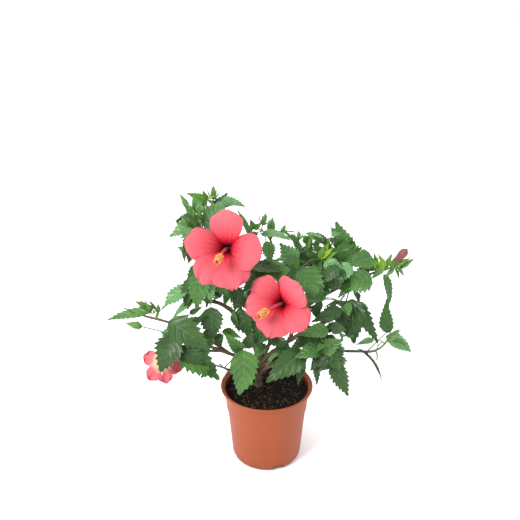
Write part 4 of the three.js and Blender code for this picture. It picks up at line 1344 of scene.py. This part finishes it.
def petal_points(bloom, number, rng):
    """One petal of a trumpet, overlapping the next, ruffled towards its edge."""
    u, v, lower = petal_shape().points.T
    axis = unit(bloom["faces"])
    right = unit(np.cross(UP, axis))
    right = right * math.copysign(1, right[0])
    top = np.cross(axis, right)
    top = top * math.copysign(1, top[2])
    radius, depth, cup = bloom["radius"], bloom["depth"], bloom["cup"]
    degrees, reach_share, half_share = bloom["petals"][number]
    angle = math.radians(degrees)
    radial = math.cos(angle) * right + math.sin(angle) * top
    size = radius * reach_share
    opening = 0.05 + 0.95 * v**1.35
    half = np.interp(v, *zip(*PETAL_OUTLINE)) * radius * half_share
    half = np.maximum(half, 0.84 * radius * opening * (v < 0.55))
    notch = 1 + 0.02 * np.sin(9 * u + number * 2) * v**5 - 0.03 * np.exp(-((u * 5) ** 2)) * v**8
    reach = size * opening * notch * (1 - cup * 0.45 * v) - 0.10 * size * np.abs(u) ** 2.2 * v**3
    trumpet = -depth * 0.95 * (1 - v) ** 2.9 + 0.18 * size * v**1.5 - 0.13 * size * v**4
    trumpet = trumpet + cup * size * 0.8 * v**1.5
    phase = rng.uniform(0, 6.28)
    ruffle = 1.3 * np.sin(6 * u + phase) * v**3 + 1.0 * np.sin(13 * u + 2 * phase) * v**6
    lap = 2.6 * u * np.clip(v * 1.4, 0, 1)
    crown = -0.10 * size * u**2 * v
    rise = trumpet + ruffle + lap + crown + lower * 0.5
    across = (u * half * (1 - 0.25 * cup * v))[:, None] * np.cross(radial, axis)
    return np.array(bloom["throat"], float) + across + reach[:, None] * radial + rise[:, None] * axis


@functools.cache
def bud_shape():
    """A closed bud of unit length, five-ribbed, fat below the middle."""
    made = spun(BUD_OUTLINE, BUD_TURNS)
    for v in made.verts:
        rib = 1 + 0.12 * math.cos(5 * math.atan2(v.co.y, v.co.x))
        v.co.x *= rib
        v.co.y *= rib
    bmesh.ops.holes_fill(made, edges=made.edges[:], sides=40)
    bmesh.ops.recalc_face_normals(made, faces=made.faces)
    return Shape(made)


def turned_points(points, place, axis, size, girth=1.0):
    """Points of an upright shape turned onto an axis and scaled."""
    axis = unit(axis)
    side = unit(np.cross(axis, BUD_HINT))
    flat = points[:, :1] * side + points[:, 1:2] * np.cross(axis, side)
    return np.asarray(place, float) + flat * size * girth + points[:, 2:] * axis * size


def bracts(bunch, place, axis, size, count, spread_out, width):
    """Narrow green bracts round the foot of a bud or bloom."""
    axis = unit(axis)
    for i in range(count):
        out = spoke(axis, math.tau * i / count, BUD_HINT)
        end = place + (out * spread_out + axis) * size
        bend = place + (out * spread_out * 0.9 + axis * 0.25) * size
        limb = bent(place + out * 0.8, bend, end, (width, 0.1), 10)
        bunch.tube(tube_shape(5, 6), limb, tapered((0, 0.5), (0.3, width), (1, 0.08)))


class HIBISCUS_OT_blooms(bpy.types.Operator):
    """Open the blooms with their petals, calyx and column of stamens"""

    bl_idname = "hibiscus.blooms"
    bl_label = "Blooms"

    def execute(self, context):
        settings = context.scene.hibiscus_bloom
        rng = random.Random(BLOOM_SEED)
        pollen = patchy_material("hibiscus_pollen", settings.anther, 0.8, 1.2, 0.2)
        pad = patchy_material("hibiscus_stigma", settings.stigma, 0.6, 1.0, 0.1)
        tube = patchy_material("hibiscus_column", srgb(COLUMN_RED), 0.6, 6, 0.1)
        green = patchy_material("hibiscus_calyx", srgb(CALYX_GREEN), 0.55, 4, 0.2)
        skins = [petal_material(False), petal_material(True)]
        for name, bloom in BLOOMS.items():
            bunch, shape = Bunch(), petal_shape()
            for number in range(PETALS):
                # Painted light: the first petal of each bloom, an upper one, is made paler; the others differ at
                # random.
                tone = 1.0 if number == 0 else rng.uniform(-0.8, 0.2)
                bunch.add(shape, petal_points(bloom, number, rng), shape.uv, tone)
            put(name.replace("bloom", "petals"), bunch, skins, [name], crease=70)
            axis, throat = unit(bloom["faces"]), np.array(bloom["throat"])
            column = self.column(bloom, axis, throat, rng)
            put(name.replace("bloom", "stamens"), column, [tube, pollen, pad])
            calyx = self.calyx(throat - axis * bloom["depth"], axis)
            put(name.replace("bloom", "calyx"), calyx, [green])
        return {"FINISHED"}

    def column(self, bloom, axis, throat, rng):
        """The tube of stamens with its anthers and five stigma pads, slots 0, 1 and 2."""
        tip = throat + unit(bloom["column"]) * bloom["column_length"]
        column = bent(throat - axis * bloom["depth"] * 0.97, throat + axis * 2, tip, (2.6, 0.9), 30)
        bunch, hair, ball = Bunch(), tube_shape(4, 2), ball_shape()
        bunch.tube(tube_shape(10, 24), column, tapered(*enumerate(column.radii)), 0)
        for i in range(STAMENS):
            along = 0.74 + 0.25 * (i + 0.5) / STAMENS
            start, ahead = column.at(along), column.heading(along)
            end = start + unit(spoke(ahead, i * GOLDEN, STAMEN_HINT) + ahead * 0.45) * rng.uniform(2.6, 4.8)
            thread = bent(start, (start + end) / 2 + ahead * 0.4, end, (0.16, 0.16), 5)
            bunch.tube(hair, thread, tapered((0, 0.16)), 1)
            bunch.add(ball, ball.points * (1.0, 1.0, 0.8) * rng.uniform(1.0, 1.45) + end, slots=1)
        ahead = column.heading(1.0)
        for i in range(5):
            end = tip + ahead * 5 + spoke(ahead, math.tau * i / 5, STAMEN_HINT) * 3
            arm = bent(tip - ahead, tip + ahead * 2, end, (0.35, 0.35), 6)
            bunch.tube(hair, arm, tapered((0, 0.35)), 2)
            bunch.add(ball, ball.points * 1.25 + end, slots=2)
        return bunch

    def calyx(self, foot, axis):
        """The five-lobed green cup behind the petals, with its bracts."""
        bunch, bud = Bunch(), bud_shape()
        bunch.add(bud, turned_points(bud.points * (1, 1, 0.42), foot - axis * 7, axis, 20))
        bracts(bunch, foot - axis * 5, axis, 11, 8, 0.8, 0.8)
        bracts(bunch, foot - axis * 3, axis, 13, 5, 0.62, 1.7)
        return bunch


class HIBISCUS_OT_buds(bpy.types.Operator):
    """Set the green buds and the rolled pink one"""

    bl_idname = "hibiscus.buds"
    bl_label = "Buds"

    def execute(self, context):
        green = patchy_material("hibiscus_bud", context.scene.hibiscus_bloom.bud, 0.5, 4, 0.2)
        pink = patchy_material("hibiscus_rolled_petals", srgb(ROLLED_PINK), 0.6, 7, 0.4)
        bunch, rolled, bud, stalk = Bunch(), Bunch(), bud_shape(), tube_shape(6, 8)
        for name, rows in BUDS.items():
            for place, way, size, kind in rows:
                place, way = np.array(place, float), unit(way)
                girth, bract, wide = BUD_KINDS[kind]
                if kind == "rolled":
                    fuller = 0.55 + 3.2 * bud.points[:, 2:] ** 3
                    blunt = bud.points * np.hstack([fuller, fuller, np.ones_like(fuller) * 0.92])
                    rolled.add(bud, turned_points(blunt, place + way * 5, way, size * 0.95, girth))
                    bunch.add(bud, turned_points(bud.points, place, way, size * 0.5, 0.95))
                else:
                    bunch.add(bud, turned_points(bud.points, place, way, size, girth))
                bracts(bunch, place, way, size * bract, 7, wide, 0.55)
                behind = place - way * (size * 1.25 if kind == "plump" else 6)
                node = nearest_node(grown()[name]["twigs"], behind)
                bend = place - way * np.linalg.norm(place - node) * 0.5
                bunch.tube(stalk, bent(node, bend, place + way * 0.5, (0.9, 0.8), 14), tapered((0, 0.7), (1, 0.85)))
        put("buds", bunch, [green])
        put("rolled_bud", rolled, [pink])
        return {"FINISHED"}


# ---- stage ----
class HIBISCUS_OT_stage(bpy.types.Operator):
    """Lay the pale floor, hang the soft lights and set the camera"""

    bl_idname = "hibiscus.stage"
    bl_label = "Stage"

    def execute(self, context):
        scene, settings = context.scene, context.scene.hibiscus_stage
        made = bmesh.new()
        bmesh.ops.create_grid(made, x_segments=4, y_segments=4, size=FLOOR_REACH)
        floor = bpy.data.objects.new("floor", bmesh_to_mesh("floor", made))
        scene.collection.objects.link(floor)
        paper, _ = new_material("white_studio_paper", 0.9, Base_Color=(*settings.floor, 1))
        floor.data.materials.append(paper)

        scene.world = bpy.data.worlds.new("soft_white_studio")
        scene.world.use_nodes = True
        sky = scene.world.node_tree.nodes["Background"].inputs
        sky["Color"].default_value = (1, 1, 1, 1)
        sky["Strength"].default_value = settings.sky
        for name, place, size, power in LAMPS:
            lamp = bpy.data.lights.new(name, "AREA")
            lamp.size, lamp.energy = size, power
            light = bpy.data.objects.new(name, lamp)
            light.location = place
            light.rotation_euler = (Vector(LAMP_AIM) - light.location).to_track_quat("-Z", "Y").to_euler()
            scene.collection.objects.link(light)

        lens = bpy.data.cameras.new("camera")
        lens.lens, lens.sensor_width, lens.clip_end = CAMERA_LENS, CAMERA_SENSOR, 50
        camera = bpy.data.objects.new("camera", lens)
        camera.location = [c * MM for c in CAMERA_PLACE]
        camera.rotation_euler = (math.radians(90 - CAMERA_PITCH), 0, 0)
        scene.collection.objects.link(camera)
        scene.camera = camera
        scene.view_settings.view_transform = "Standard"
        return {"FINISHED"}


PIECES = (
    HIBISCUS_OT_pot,
    HIBISCUS_OT_soil,
    HIBISCUS_OT_stems,
    HIBISCUS_OT_twigs,
    HIBISCUS_OT_leaves,
    HIBISCUS_OT_blooms,
    HIBISCUS_OT_buds,
    HIBISCUS_OT_stage,
)
SETTINGS = {
    "hibiscus_pot": HibiscusPotSettings,
    "hibiscus_plant": HibiscusPlantSettings,
    "hibiscus_bloom": HibiscusBloomSettings,
    "hibiscus_stage": HibiscusStageSettings,
}


class HIBISCUS_PT_shrub(bpy.types.Panel):
    """Lists the pieces of the shrub and their settings"""

    bl_idname = "HIBISCUS_PT_shrub"
    bl_label = "Potted hibiscus"
    bl_space_type = "VIEW_3D"
    bl_region_type = "UI"
    bl_category = "Hibiscus"

    def draw(self, context):
        for piece in PIECES:
            self.layout.operator(piece.bl_idname)
        for name, group in SETTINGS.items():
            box = self.layout.box()
            for key in group.__annotations__:
                box.prop(getattr(context.scene, name), key)


CLASSES = (*SETTINGS.values(), *PIECES, HIBISCUS_PT_shrub)


def register():
    for kind in CLASSES:
        bpy.utils.register_class(kind)
    for name, group in SETTINGS.items():
        setattr(bpy.types.Scene, name, bpy.props.PointerProperty(type=group))


def unregister():
    for name in SETTINGS:
        delattr(bpy.types.Scene, name)
    for kind in reversed(CLASSES):
        bpy.utils.unregister_class(kind)


def main():
    register()
    for piece in PIECES:
        group, name = piece.bl_idname.split(".")
        getattr(getattr(bpy.ops, group), name)()


if __name__ == "__main__":
    main()
